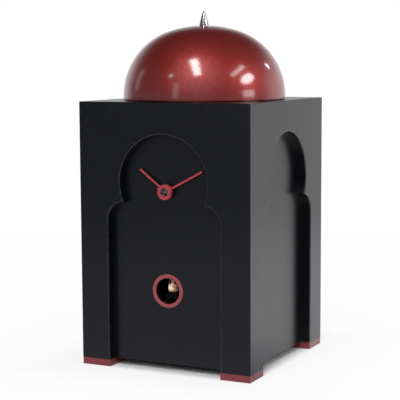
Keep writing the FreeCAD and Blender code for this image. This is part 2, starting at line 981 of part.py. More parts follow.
def cuckoo_chassis():
    """The plate behind the dial panel that carries both rails, with a hole for the porthole's sleeve."""
    flange = block(
        centred(0, flange_width), (panel_back_y, rail_front_y), centred(porthole_height, flange_height)
    )
    upright = [edge for edge in flange.Edges if abs(edge.tangentAt(edge.FirstParameter).dot(BACK)) > 0.99]
    flange = flange.makeChamfer(rail_wall, upright)
    flange = flange.cut(porthole_space(ring_bore_radius + ring_sleeve_wall + joint_clearance))
    bridge = block(
        (-rail_outside, rail_outside),
        (rail_front_y + rail_length - rail_wall, rail_front_y + rail_length),
        (rail_bottom, rail_top),
    )
    webs = []
    reach = ring_bore_radius + ring_sleeve_wall + 2 * joint_clearance
    for side in SIGNS:
        webs.append(block(
            sorted((side * rail_inside, side * rail_outside)),
            (panel_back_y, rail_front_y),
            (porthole_height - flange_height / 2, porthole_height - reach),
        ))
    chassis = fused([flange, rail(-1), rail(1), bridge] + webs + rail_supports())
    shaft = bar(
        around(drive_shaft_radius + running_clearance, shaft_sides), shaft_sides, 2 * rail_outside,
        Vector(-rail_outside, drive_y, drive_axis_height), RIGHT
    )
    return chassis.cut(shaft).cut(fused(chassis_screws(joint_clearance)))


def rail_supports():
    """A stiff gusset under each rail, from the flange below the porthole to the rail's underside."""
    gussets = []
    low = porthole_height - ring_bore_radius - ring_sleeve_wall - flange_screw_inset
    for side in SIGNS:
        profile = [
            Vector(0, rail_front_y, low), Vector(0, rail_front_y, rail_bottom),
            Vector(0, drive_y - bearing_length, rail_bottom),
        ]
        gusset = Part.Face(Part.makePolygon(profile + profile[:1])).extrude(RIGHT * rail_wall)
        offset = rail_inside if side > 0 else -rail_outside
        gussets.append(moved(gusset, RIGHT * offset))
    return gussets


def chassis_screws(clearance):
    """Four screws that hold the chassis to the back of the dial panel, or the holes for them."""
    screws = []
    for side_x in SIGNS:
        for side_z in SIGNS:
            start = Vector(
                side_x * (flange_width / 2 - flange_screw_inset), rail_front_y,
                porthole_height + side_z * (flange_height / 2 - flange_screw_inset)
            )
            shank = bar(chassis_screw_radius + clearance, leg_sides, chassis_screw_length, start, -BACK)
            head = bar(chassis_screw_head_radius, leg_sides, chassis_screw_head_height, start, BACK)
            screws.append(fused([shank, head]))
    return screws


def rack_outline():
    """Points (y, z) of the rack's teeth, hanging below the carriage, with a gap over the drive pinion."""
    pitch = math.pi * rack_module
    root = (rack_pitch_height + dedendum_share * rack_module, root_half_width_share)
    tip = (rack_pitch_height - addendum_share * rack_module, tip_half_width_share)
    first = drive_y - 1.5 * pitch
    points = [(first - pitch / 2, carriage_bottom)]
    for tooth in range(rack_teeth):
        for side, run in ((-1, (root, tip)), (1, (tip, root))):
            for height, half_share in run:
                points.append((first + (tooth + side * half_share) * pitch, height))
    points.append((first + (rack_teeth - 0.5) * pitch, carriage_bottom))
    return points


def carriage():
    """The sliding bar; its front end is the bird's perch, and its rack hangs below the rear."""
    back_y = carriage_front_y + carriage_length
    slide = block(
        (-carriage_width / 2, carriage_width / 2), (carriage_front_y, back_y), (carriage_bottom, carriage_top)
    )
    corners = [Vector(-rack_width / 2, y, z) for y, z in rack_outline()]
    top = [Vector(-rack_width / 2, y, carriage_bottom + carriage_thickness / 2) for y in (corners[-1].y, corners[0].y)]
    rack = Part.Face(Part.makePolygon(corners + top + corners[:1])).extrude(RIGHT * rack_width)
    return fused([slide, rack])


def drive_pinion():
    """The pinion under the rack, on a shaft that runs in the rails' ears and into the gearbox."""
    teeth = toothed_wheel(drive_pinion_teeth, rack_module, drive_pinion_width, CENTRE, 0)
    teeth.rotate(CENTRE, UP, -QUARTER_TURN)
    teeth.translate(Vector(-drive_pinion_width / 2, drive_y, drive_axis_height))
    start = Vector(-rail_outside, drive_y, drive_axis_height)
    shaft = bar(drive_shaft_radius, shaft_sides, 2 * rail_outside + gearbox_width / 2, start, RIGHT)
    return fused([teeth, shaft])


gearbox_x = (rail_outside, rail_outside + gearbox_width)
gearbox_z = (drive_axis_height - gearbox_foot_drop, drive_axis_height - gearbox_foot_drop + gearbox_height)


def gearbox():
    """The closed reduction gearbox on the right-hand rail, with a blind hole for the drive shaft."""
    box = block(gearbox_x, centred(drive_y, gearbox_length), gearbox_z)
    edges = [edge for edge in box.Edges if edge.CenterOfMass.x > rail_outside + gearbox_width - overrun]
    box = box.makeChamfer(arris, edges)
    hole = bar(
        around(drive_shaft_radius + running_clearance, shaft_sides), shaft_sides,
        gearbox_width / 2 + axial_gap, Vector(rail_outside, drive_y, drive_axis_height), RIGHT
    )
    return box.cut(hole)


def motor():
    """The small round motor behind the gearbox, with an eased rear edge."""
    start = Vector(
        rail_outside + gearbox_width / 2, drive_y + gearbox_length / 2, (gearbox_z[0] + gearbox_z[1]) / 2
    )
    profile = (
        (0, 0),
        (motor_radius, 0),
        (motor_radius, motor_length - arris),
        (motor_radius - arris, motor_length),
        (0, motor_length),
    )
    return many_sided(profile, hidden_sides, start, BACK)


# Bird, standing on the front of the carriage

bird_bottom = porthole_height - bird_height * bird_drop_share
bird_centre_y = carriage_front_y + bird_length / 2 - bird_overhang


def bird_section(shares):
    """One level oval section of the bird."""
    height, half_width, half_depth, back = shares
    ring = []
    for index in range(bird_sides):
        angle = (index + 0.5) * 2 * math.pi / bird_sides
        ring.append(Vector(
            bird_width * half_width * math.cos(angle),
            bird_centre_y + bird_length * (back + half_depth * math.sin(angle)),
            bird_bottom + bird_height * height
        ))
    return ring


def tail():
    """A flat tail that widens to the rear."""
    middle = bird_bottom + bird_height * tail_height_share
    root_y = bird_centre_y + bird_length * tail_height_share / 2
    end_y = bird_centre_y + bird_length / 2 + bird_tail_length
    plan = []
    for x, y in ((tail_narrow_share, root_y), (tail_wide_share, end_y)):
        plan.append(Vector(-bird_width * x / 2, y, middle))
        plan.append(Vector(bird_width * x / 2, y, middle))
    corners = [plan[0], plan[1], plan[3], plan[2], plan[0]]
    return Part.Face(Part.makePolygon(corners)).extrude(UP * bird_tail_thickness)


def bird_body():
    """A small carved bird: a full breast, a narrow head, a flat tail and two short legs on the carriage."""
    body = skinned([bird_section(shares) for shares in bird_section_shares])
    legs = []
    for side in SIGNS:
        start = Vector(side * bird_leg_gap / 2, bird_centre_y, carriage_top)
        length = bird_bottom - carriage_top + bird_leg_radius
        legs.append(bar(bird_leg_radius, leg_sides, length, start, UP))
    return fused([body, tail()] + legs).cut(beak(joint_clearance / 2))


def beak(clearance):
    """A pointed beak let into the head, tipped a little downwards, or the pocket for it."""
    way = Vector(0, -1, -beak_dip_share).normalize()
    shares = bird_section_shares[-2]
    front_y = bird_centre_y + bird_length * (shares[3] - shares[2])
    start = Vector(0, front_y, bird_bottom + bird_height * head_height_share) - way * beak_sink
    width = beak_radius + clearance
    profile = ((0, 0), (width, 0), (0, beak_length + beak_sink + clearance))
    return many_sided(profile, leg_sides, start, way)


# Speaker

def at_speaker(z):
    return Vector(0, speaker_centre_y, z)


speaker_top_z = floor_of_case + speaker_depth


def speaker_basket():
    """A pressed basket: flat rim on the board, sloping wall with four windows, and a seat for the magnet."""
    mouth = speaker_radius - speaker_flange_width
    profile = (
        (mouth, 0),
        (speaker_radius, 0),
        (speaker_radius, speaker_flange_thickness),
        (mouth + speaker_wall, speaker_flange_thickness),
        (speaker_throat_radius + speaker_wall, speaker_depth),
        (voice_radius, speaker_depth),
        (voice_radius, speaker_depth - speaker_wall),
        (speaker_throat_radius, speaker_depth - speaker_wall),
        (mouth, speaker_flange_thickness),
    )
    basket = many_sided(profile, hidden_sides, at_speaker(floor_of_case), UP)
    low = floor_of_case + speaker_flange_thickness + speaker_wall
    high = floor_of_case + speaker_depth - 2 * speaker_wall
    window = block((speaker_throat_radius / 2, speaker_radius), centred(0, speaker_throat_radius), (low, high))
    for quarter in range(4):
        cutter = moved(turned_about(window, CENTRE, UP, quarter * QUARTER_TURN), BACK * speaker_centre_y)
        basket = basket.cut(cutter)
    return basket


def speaker_magnet():
    """The magnet between its two steel plates."""
    plate_radius = magnet_radius - magnet_plate
    profile = (
        (0, 0),
        (plate_radius, 0),
        (plate_radius, magnet_plate),
        (magnet_radius, magnet_plate),
        (magnet_radius, magnet_height - magnet_plate),
        (plate_radius, magnet_height - magnet_plate),
        (plate_radius, magnet_height),
        (0, magnet_height),
    )
    return many_sided(profile, hidden_sides, at_speaker(speaker_top_z), UP)


def speaker_cone():
    """The thin cone inside the basket, glued to the inner edge of its rim, with a voice coil neck."""
    edge_radius = speaker_radius - speaker_flange_width
    low = cone_lift
    top = speaker_depth - speaker_wall - cone_lift
    profile = (
        (edge_radius, low),
        (edge_radius, low + cone_thickness),
        (voice_radius, top),
        (voice_radius - cone_thickness, top),
        (voice_radius - cone_thickness, top - cone_thickness),
        (edge_radius - 2 * cone_thickness, low),
    )
    return many_sided(profile, hidden_sides, at_speaker(floor_of_case), UP)


# Battery holder

holder_width = cell_length + cell_cap_length + 2 * (holder_wall + holder_end_gap)
cell_pitch = 2 * cell_radius + cell_gap
holder_depth = cell_count * cell_pitch + cell_gap + 2 * holder_wall
holder_back_y = panel_half - holder_back_gap
holder_y = (holder_back_y - holder_depth, holder_back_y)
holder_x = (-holder_width / 2, holder_width / 2)


def cell_centre(index):
    y = holder_y[0] + holder_wall + cell_gap + cell_radius + index * cell_pitch
    return Vector(0, y, floor_of_case + holder_wall + cell_radius)


def battery_holder():
    """An open tray for three cells laid side by side."""
    outer = block(holder_x, holder_y, (floor_of_case, floor_of_case + holder_height))
    inner = block(
        inset(holder_x, holder_wall), inset(holder_y, holder_wall),
        (floor_of_case + holder_wall, floor_of_case + holder_height + overrun)
    )
    return outer.cut(inner)


def battery_cells():
    """Three round cells, each turned the other way from its neighbour."""
    cells = []
    for index in range(cell_count):
        side = 1 if index % 2 else -1
        middle = cell_centre(index)
        profile = (
            (0, 0),
            (cell_radius, 0),
            (cell_radius, cell_length),
            (cell_cap_radius, cell_length),
            (cell_cap_radius, cell_length + cell_cap_length),
            (0, cell_length + cell_cap_length),
        )
        start = middle - RIGHT * side * (cell_length / 2)
        cells.append(many_sided(profile, hidden_sides, start, RIGHT * side))
    return cells


def battery_contacts():
    """A spring contact at each end of each cell: a plate on the holder's wall and a bow that meets the cell."""
    contacts = []
    for index in range(cell_count):
        cap_side = 1 if index % 2 else -1
        middle = cell_centre(index)
        for side in SIGNS:
            wall_x = side * (holder_width / 2 - holder_wall)
            leaf = block(
                sorted((wall_x, wall_x - side * contact_thickness)), centred(middle.y, contact_width),
                centred(middle.z, contact_width)
            )
            end = cell_length / 2 + (cell_cap_length if side == cap_side else 0)
            near = side * end
            far = wall_x - side * contact_thickness
            bow = [
                Vector(near, 0, -contact_bow_width / 2), Vector(near, 0, contact_bow_width / 2),
                Vector(far, 0, contact_width / 2), Vector(far, 0, -contact_width / 2),
            ]
            press = Part.Face(Part.makePolygon(bow + bow[:1])).extrude(BACK * contact_bow_width)
            press.translate(Vector(0, middle.y - contact_bow_width / 2, middle.z))
            contacts.append(fused([leaf, press]))
    return contacts


# Control box and mode switch

control_top = floor_of_case + control_height
control_centre_x = panel_half - control_panel_gap - control_width / 2
control_centre_y = panel_half - post_side - control_post_gap - control_depth / 2
slot_length = switch_travel + switch_stem_length + 2 * slide_clearance
switch_start_x = control_centre_x - switch_travel / 2


def control_box():
    """A small box on the bottom board, open below, with a slot for the switch in its top."""
    box = block(
        centred(control_centre_x, control_width), centred(control_centre_y, control_depth),
        (floor_of_case, control_top)
    )
    hollow = block(
        centred(control_centre_x, control_width - 2 * control_wall),
        centred(control_centre_y, control_depth - 2 * control_wall),
        (floor_of_case - overrun, control_top - control_wall)
    )
    slot = block(
        centred(control_centre_x, slot_length),
        centred(control_centre_y, switch_stem_width + 2 * slide_clearance),
        (control_top - control_wall - overrun, control_top + overrun)
    )
    return box.cut(hollow).cut(slot)


def mode_switch():
    """The slide switch: a button above the slot, a stem through it and a flange under the box's top."""
    button_bottom = control_top + slide_clearance
    button = block(
        centred(switch_start_x, switch_length), centred(control_centre_y, switch_width),
        (button_bottom, button_bottom + switch_height)
    )
    flange_top = control_top - control_wall - slide_clearance
    stem = block(
        centred(switch_start_x, switch_stem_length), centred(control_centre_y, switch_stem_width),
        (flange_top - control_wall, button_bottom)
    )
    flange = block(
        centred(switch_start_x, switch_length), centred(control_centre_y, switch_width),
        (flange_top - control_wall, flange_top)
    )
    return fused([button, stem, flange])


# Rear door

def rear_door():
    """The door, whose hinge edge is round about the pins' line, with a hole for each pin."""
    board = block((door_axis_x, door_half), (panel_half, inner_half), (door_bottom, door_top))
    nose = rod(inner_board / 2, door_height, Vector(door_axis_x, door_axis_y, door_bottom), UP)
    door = fused([board, nose])
    radius = around(door_pin_radius, shaft_sides)
    for start, way in door_pin_places():
        door = door.cut(bar(radius, shaft_sides, door_pin_sink, start, -way))
    return door


def door_pin_places():
    """Where each pin leaves the door, and which way it points."""
    low = Vector(door_axis_x, door_axis_y, door_bottom)
    return ((low, -UP), (low + UP * door_height, UP))


def door_pins():
    length = door_pin_sink + door_gap + door_pin_reach
    return [bar(door_pin_radius, shaft_sides, length, start - way * door_pin_sink, way)
            for start, way in door_pin_places()]


def door_knob():
    """A small mushroom knob near the door's free edge."""
    neck = door_knob_length - door_knob_cap
    profile = (
        (0, 0),
        (door_knob_stem_radius, 0),
        (door_knob_stem_radius, neck),
        (door_knob_radius, neck + arris),
        (door_knob_radius, door_knob_length - 2 * arris),
        (door_knob_radius - 2 * arris, door_knob_length),
        (0, door_knob_length),
    )
    place = Vector(door_half - door_knob_setback, inner_half, door_bottom + door_height / 2)
    return many_sided(profile, hidden_sides, place, BACK)


def door_catch():
    """The magnetic catch inside the case, which the door's free edge closes against."""
    near = door_half - catch_overlap
    return block(
        (near, near + catch_width), (panel_half - catch_depth, panel_half),
        centred(door_bottom + door_height / 2, catch_height)
    )


def main():
    os.makedirs("parts", exist_ok=True)
    front = front_arch_panel()
    for node, turns in (("front", 0), ("right", 1), ("rear", 2), ("left", 3)):
        save(node + "_arch_panel", turned_about(front, CENTRE, UP, turns * QUARTER_TURN))
    save("front_inner_panel", front_inner_panel())
    save("rear_inner_panel", rear_inner_panel())
    save("left_inner_panel", side_inner_panel(-1))
    save("right_inner_panel", side_inner_panel(1))
    save("top_board", top_board())
    save("bottom_board", bottom_board())
    save_group("corner_posts", corner_posts())
    for end, side_y in (("front", -1), ("rear", 1)):
        for hand, side_x in (("left", -1), ("right", 1)):
            save("foot_" + end + "_" + hand, foot(side_x, side_y))
    save_group("foot_screws", foot_screws())

    save("dome", dome())
    save("dome_seat_disc", seat_disc())
    save_group("dome_screws", dome_screws())
    save("spike", spike())
    save("porthole_ring", porthole_ring())

    save("hour_hand", hour_hand())
    save("minute_hand", minute_hand())
    save("hand_nut", hand_nut())
    save("movement_case", movement_case())
    save("movement_cover", movement_cover())
    save("centre_bush", centre_bush())
    save("bush_nut", bush_nut())
    save("minute_arbor", minute_arbor())
    save("hour_wheel", hour_wheel())
    save("motion_wheel", motion_wheel())
    save("setting_knob", setting_knob())
    save("circuit_board", circuit_board())
    save("coil", coil())

    save("cuckoo_chassis", cuckoo_chassis())
    save_group("chassis_screws", chassis_screws(0))
    save("carriage", carriage())
    save("drive_pinion", drive_pinion())
    save("gearbox", gearbox())
    save("motor", motor())
    save("bird_body", bird_body())
    save("bird_beak", beak(0))

    save("speaker_basket", speaker_basket())
    save("speaker_magnet", speaker_magnet())
    save("speaker_cone", speaker_cone())
    save("battery_holder", battery_holder())
    save_group("battery_cells", battery_cells())
    save_group("battery_contacts", battery_contacts())
    save("control_box", control_box())
    save("mode_switch", mode_switch())

    save("rear_door", rear_door())
    save_group("door_pins", door_pins())
    save("door_knob", door_knob())
    save("door_catch", door_catch())


main()
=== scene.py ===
"""The looks of the domed cuckoo table clock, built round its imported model.

Shapes are written in millimetres and become metres when their mesh is made. The clock's front faces -Y.
"""
import math

import bmesh
import bpy
from mathutils import Matrix, Vector


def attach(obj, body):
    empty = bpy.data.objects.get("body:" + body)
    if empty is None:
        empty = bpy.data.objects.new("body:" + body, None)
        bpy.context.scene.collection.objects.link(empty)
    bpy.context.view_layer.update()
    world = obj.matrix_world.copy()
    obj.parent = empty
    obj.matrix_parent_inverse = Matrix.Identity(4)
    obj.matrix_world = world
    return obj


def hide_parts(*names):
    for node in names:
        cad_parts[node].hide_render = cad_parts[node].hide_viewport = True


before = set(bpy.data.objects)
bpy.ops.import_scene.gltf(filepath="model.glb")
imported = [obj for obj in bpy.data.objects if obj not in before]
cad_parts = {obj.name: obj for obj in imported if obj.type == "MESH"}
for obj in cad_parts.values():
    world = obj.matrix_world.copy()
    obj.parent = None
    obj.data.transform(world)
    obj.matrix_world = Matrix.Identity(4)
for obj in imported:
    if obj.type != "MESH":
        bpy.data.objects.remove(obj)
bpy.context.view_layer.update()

MM = 0.001
FRONT_TO_BACK = Vector((0, 1, 0))
UP = Vector((0, 0, 1))
ON_AXIS = 1e-6
SAME_POINT = 1e-5


# Case sizes

case_half = 110.0
case_top = 314.0
case_bottom = 8.5
board_inside = 98.0
outer_edge = 0.9
outer_edge_steps = 4
opening_edge = 1.6
opening_edge_steps = 6
leg_edge = 72.7
notch_height = 197.9
shoulder_radius = 22.0
shoulder_steps = 24
arch_radius = 56.4
arch_centre_height = 220.8
arch_steps = 96

# Dome and spike sizes, with the dome's heights above the case's top

dome_radius = 97.8
dome_height = 88.6
dome_skirt = 4.3
dome_rim_edge = 0.5
dome_shoulder_radius = 81.9
dome_gap = 1.0
dome_sides = 192
rim_steps = 3
shoulder_of_dome_steps = 40
crown_steps = 16
seat_space_radius = 92.1
seat_thickness = 7.0
hollow_radius = 66.0
hollow_height = 44.0
hollow_top_radius = 38.0
hollow_top_height = 62.0
stud_hole_radius = 2.6
stud_hole_depth = 12.0
spike_radius = 5.9
spike_height = 17.6
spike_tip_radius = 1.5
spike_tip_steps = 6
spike_bulge = 0.3
spike_steps = 16
spike_sides = 64
spike_stud_radius = 2.5
spike_stud_length = 11.0

# Porthole sizes, with depths from the inner panel's front face

porthole_height = 94.9
ring_bore = 15.3
ring_edge = 19.8
ring_front = -1.2
ring_sides = 128
sleeve_radius = 16.8
sleeve_length = 8.0
# Depth down the bore at which the painted shade starts
painted_shade_starts = -0.5

# Foot sizes, with the screw hole as (radius, height), run past the block at both ends

foot_inner_edge = 72.2
foot_outer_edge = 109.7
foot_edge = 0.5
foot_screw_place = 83.0
foot_hole_sides = 32
foot_hole_line = [(0, -1.0), (3.95, -1.0), (3.95, 1.5), (2.05, 3.9), (2.05, 9.5), (0, 9.5)]

# Hand sizes. Fronts are Y places, and angles are clockwise from upright, as seen from the front.

dial_height = 211.0
hand_half_width = 1.15
hand_thickness = 1.2
hand_edge = 0.25
hour_front = -102.5
hour_angle = 307.4
hour_start = 7.0
hour_reach = 41.8
hour_disc_radius = 9.0
hour_bore = 2.53
hour_disc_sides = 96
minute_front = -104.3
minute_angle = 62.2
minute_start = 8.0
minute_reach = 53.8
hub_front = -106.3
hub_radius = 8.9
hub_thickness = 3.2
hub_recess_radius = 4.9
hub_recess_depth = 2.3
hub_sides = 128
nut_front = -104.9
nut_radius = 4.8
nut_thickness = 0.9
nut_sides = 64
pin_hole_place = 3.0
pin_hole_line = [(0, -1.0), (0.8, -1.0), (0.8, 2.0), (0, 2.0)]
pin_hole_sides = 24
shaft_half_width = 1.225
shaft_half_height = 0.825

# Bird sizes. A section is its height, half width, half depth and the Y place of its middle.

bird_sections = (
    (91.8, 2.4, 2.4, -84.9), (92.1, 3.8, 4.0, -85.0), (93.2, 4.8, 5.3, -85.5), (94.8, 5.1, 5.8, -86.1),
    (96.6, 4.9, 5.7, -86.6), (98.4, 4.5, 5.2, -87.1), (100.4, 4.0, 4.4, -87.6), (102.2, 3.6, 3.6, -88.0),
    (103.8, 3.4, 3.4, -88.3), (105.3, 3.0, 3.0, -88.6), (106.5, 2.2, 2.2, -88.7), (107.3, 0.9, 1.0, -88.7),
)
bird_sides = 48
wing_sections = (
    (91.9, 0.4, 0.9, -80.9), (92.6, 0.9, 1.9, -81.4), (94.6, 1.3, 3.2, -82.8), (97.4, 1.35, 3.6, -84.4),
    (100.0, 1.0, 2.8, -85.9), (101.6, 0.3, 1.0, -86.9),
)
wing_sides = 32
wing_offset = 4.2
tail_corners = [(-2.2, -78.8), (2.2, -78.8), (3.66, -71.5), (-3.66, -71.5)]
tail_bottom = 98.3
tail_thickness = 1.7
tail_edge = 0.35
leg_line = [(0, 0), (1.3, 0), (0.95, 0.6), (0.95, 4.5), (0, 4.5)]
leg_sides = 20
leg_place = Vector((1.6, -84.5, 88.4))
legs_end = 91.9
beak_line = [(0, 0), (1.3, 0), (1.6, 1.2), (1.45, 3.0), (0.8, 4.8), (0, 5.6)]
beak_sides = 24
beak_place = Vector((0, -90.2, 105.3))
beak_way = Vector((0, -1, -0.7)).normalized()

# Knob of the rear door

knob_place = Vector((36.0, board_inside, 136.0))
knob_stem_radius = 3.2
knob_stem_length = 5.0
knob_radius = 6.5
knob_length = 9.0
knob_sides = 64


# Colour and nodes

def colour(code):
    """Turn an sRGB hex value into the linear colour that a shader takes."""
    parts = [int(code[i:i + 2], 16) / 255 for i in (1, 3, 5)]
    linear = [c / 12.92 if c <= 0.04045 else ((c + 0.055) / 1.055) ** 2.4 for c in parts]
    return (*linear, 1.0)


def add_node(tree, kind, settings=None, stops=(), **inputs):
    """Add a node, give it its settings and its ramp's stops, and set or link its inputs.

    A stop is (place, hex colour). An input is named with _ for a space, or by i and its number.
    """
    node = tree.nodes.new(kind)
    for name, value in (settings or {}).items():
        setattr(node, name, value)
    if stops:
        elements = node.color_ramp.elements
        while len(elements) < len(stops):
            elements.new(0.5)
        for element, (place, code) in zip(elements, stops):
            element.position = place
            element.color = colour(code)
    for name, value in inputs.items():
        numbered = name[0] == "i" and name[1:].isdigit()
        socket = node.inputs[int(name[1:]) if numbered else name.replace("_", " ")]
        if isinstance(value, bpy.types.NodeSocket):
            tree.links.new(value, socket)
        else:
            socket.default_value = value
    return node


def per_metre(size):
    """The texture scale at which one feature measures this many millimetres."""
    return 1 / (size * MM)


def surface(tree, tint, marks, roughness, relief=0.0, detail=3.0, drawn_out=None, patches=0.0, **values):
    """A surface whose colour, roughness and height vary together, in marks of this many millimetres.

    The tint is one hex colour or the stops of a ramp. The roughness is its lowest and highest, and the relief
    is in millimetres. The marks are drawn out along each axis whose factor is below one. Wider patches, where
    they have a size, give the colour in place of the marks.
    """
    place = add_node(tree, "ShaderNodeTexCoord").outputs["Object"]
    along = place
    if drawn_out:
        along = add_node(
            tree, "ShaderNodeVectorMath", {"operation": "MULTIPLY"}, i0=place, i1=drawn_out
        ).outputs["Vector"]
    texture = add_node(
        tree, "ShaderNodeTexNoise", Vector=along, Scale=per_metre(marks), Detail=detail
    ).outputs["Fac"]
    shade = texture
    if patches:
        shade = add_node(
            tree, "ShaderNodeTexNoise", Vector=place, Scale=per_metre(patches), Detail=3.0
        ).outputs["Fac"]
    if isinstance(tint, str):
        values["Base_Color"] = colour(tint)
    else:
        values["Base_Color"] = add_node(tree, "ShaderNodeValToRGB", stops=tint, Fac=shade).outputs["Color"]
    if relief:
        values["Normal"] = add_node(
            tree, "ShaderNodeBump", Height=texture, Distance=relief * MM, Strength=1.0
        ).outputs["Normal"]
    return add_node(
        tree, "ShaderNodeBsdfPrincipled",
        Roughness=add_node(
            tree, "ShaderNodeMapRange", Value=texture, To_Min=roughness[0], To_Max=roughness[1]
        ).outputs["Result"],
        **values
    ).outputs["BSDF"]


def flake_lacquer(tree):
    """Metallic red lacquer under clear gloss: flakes, each tilted a little its own way, under a smooth coat.

    Real flakes are about 0.1 mm and are drawn 1 mm here, so that they show.
    """
    place = add_node(tree, "ShaderNodeTexCoord").outputs["Object"]
    flake = add_node(tree, "ShaderNodeTexVoronoi", Vector=place, Scale=per_metre(1.0)).outputs
    tilt = add_node(
        tree, "ShaderNodeVectorMath", {"operation": "MULTIPLY_ADD"},
        i0=flake["Color"], i1=(0.16, 0.16, 0.16), i2=(-0.08, -0.08, -0.08)
    ).outputs["Vector"]
    straight = add_node(tree, "ShaderNodeNewGeometry").outputs["Normal"]
    tilted = add_node(
        tree, "ShaderNodeVectorMath", {"operation": "ADD"}, i0=straight, i1=tilt
    ).outputs["Vector"]
    return add_node(
        tree, "ShaderNodeBsdfPrincipled",
        Base_Color=add_node(
            tree, "ShaderNodeValToRGB", stops=[(0.0, "#bc433c"), (0.6, "#9a332e")], Fac=flake["Distance"]
        ).outputs["Color"],
        Metallic=0.8,
        Roughness=0.5,
        Coat_Weight=1.0,
        Coat_Roughness=0.14,
        Coat_IOR=1.75,
        Normal=add_node(
            tree, "ShaderNodeVectorMath", {"operation": "NORMALIZE"}, i0=tilted
        ).outputs["Vector"],
    ).outputs["BSDF"]


def wound_wire(tree):
    """Enamelled copper wire wound on a core: bands of wire about 0.6 mm apart."""
    place = add_node(tree, "ShaderNodeTexCoord").outputs["Object"]
    band = add_node(
        tree, "ShaderNodeTexWave", Vector=place, Scale=per_metre(0.3 * 2 * math.pi), Distortion=0.0
    ).outputs["Fac"]
    return add_node(
        tree, "ShaderNodeBsdfPrincipled",
        Base_Color=add_node(
            tree, "ShaderNodeValToRGB", stops=[(0.0, "#7a3316"), (1.0, "#c06a38")], Fac=band
        ).outputs["Color"],
        Metallic=0.9,
        Roughness=0.3,
        Normal=add_node(
            tree, "ShaderNodeBump", Height=band, Distance=0.05 * MM, Strength=1.0
        ).outputs["Normal"],
    ).outputs["BSDF"]


def finish(name, *values, build=surface, **settings):
    """A material whose shader is a surface with these values, unless build names another function."""
    material = bpy.data.materials.new(name)
    material.use_nodes = True
    tree = material.node_tree
    tree.nodes.clear()
    add_node(tree, "ShaderNodeOutputMaterial", Surface=build(tree, *values, **settings))
    return material


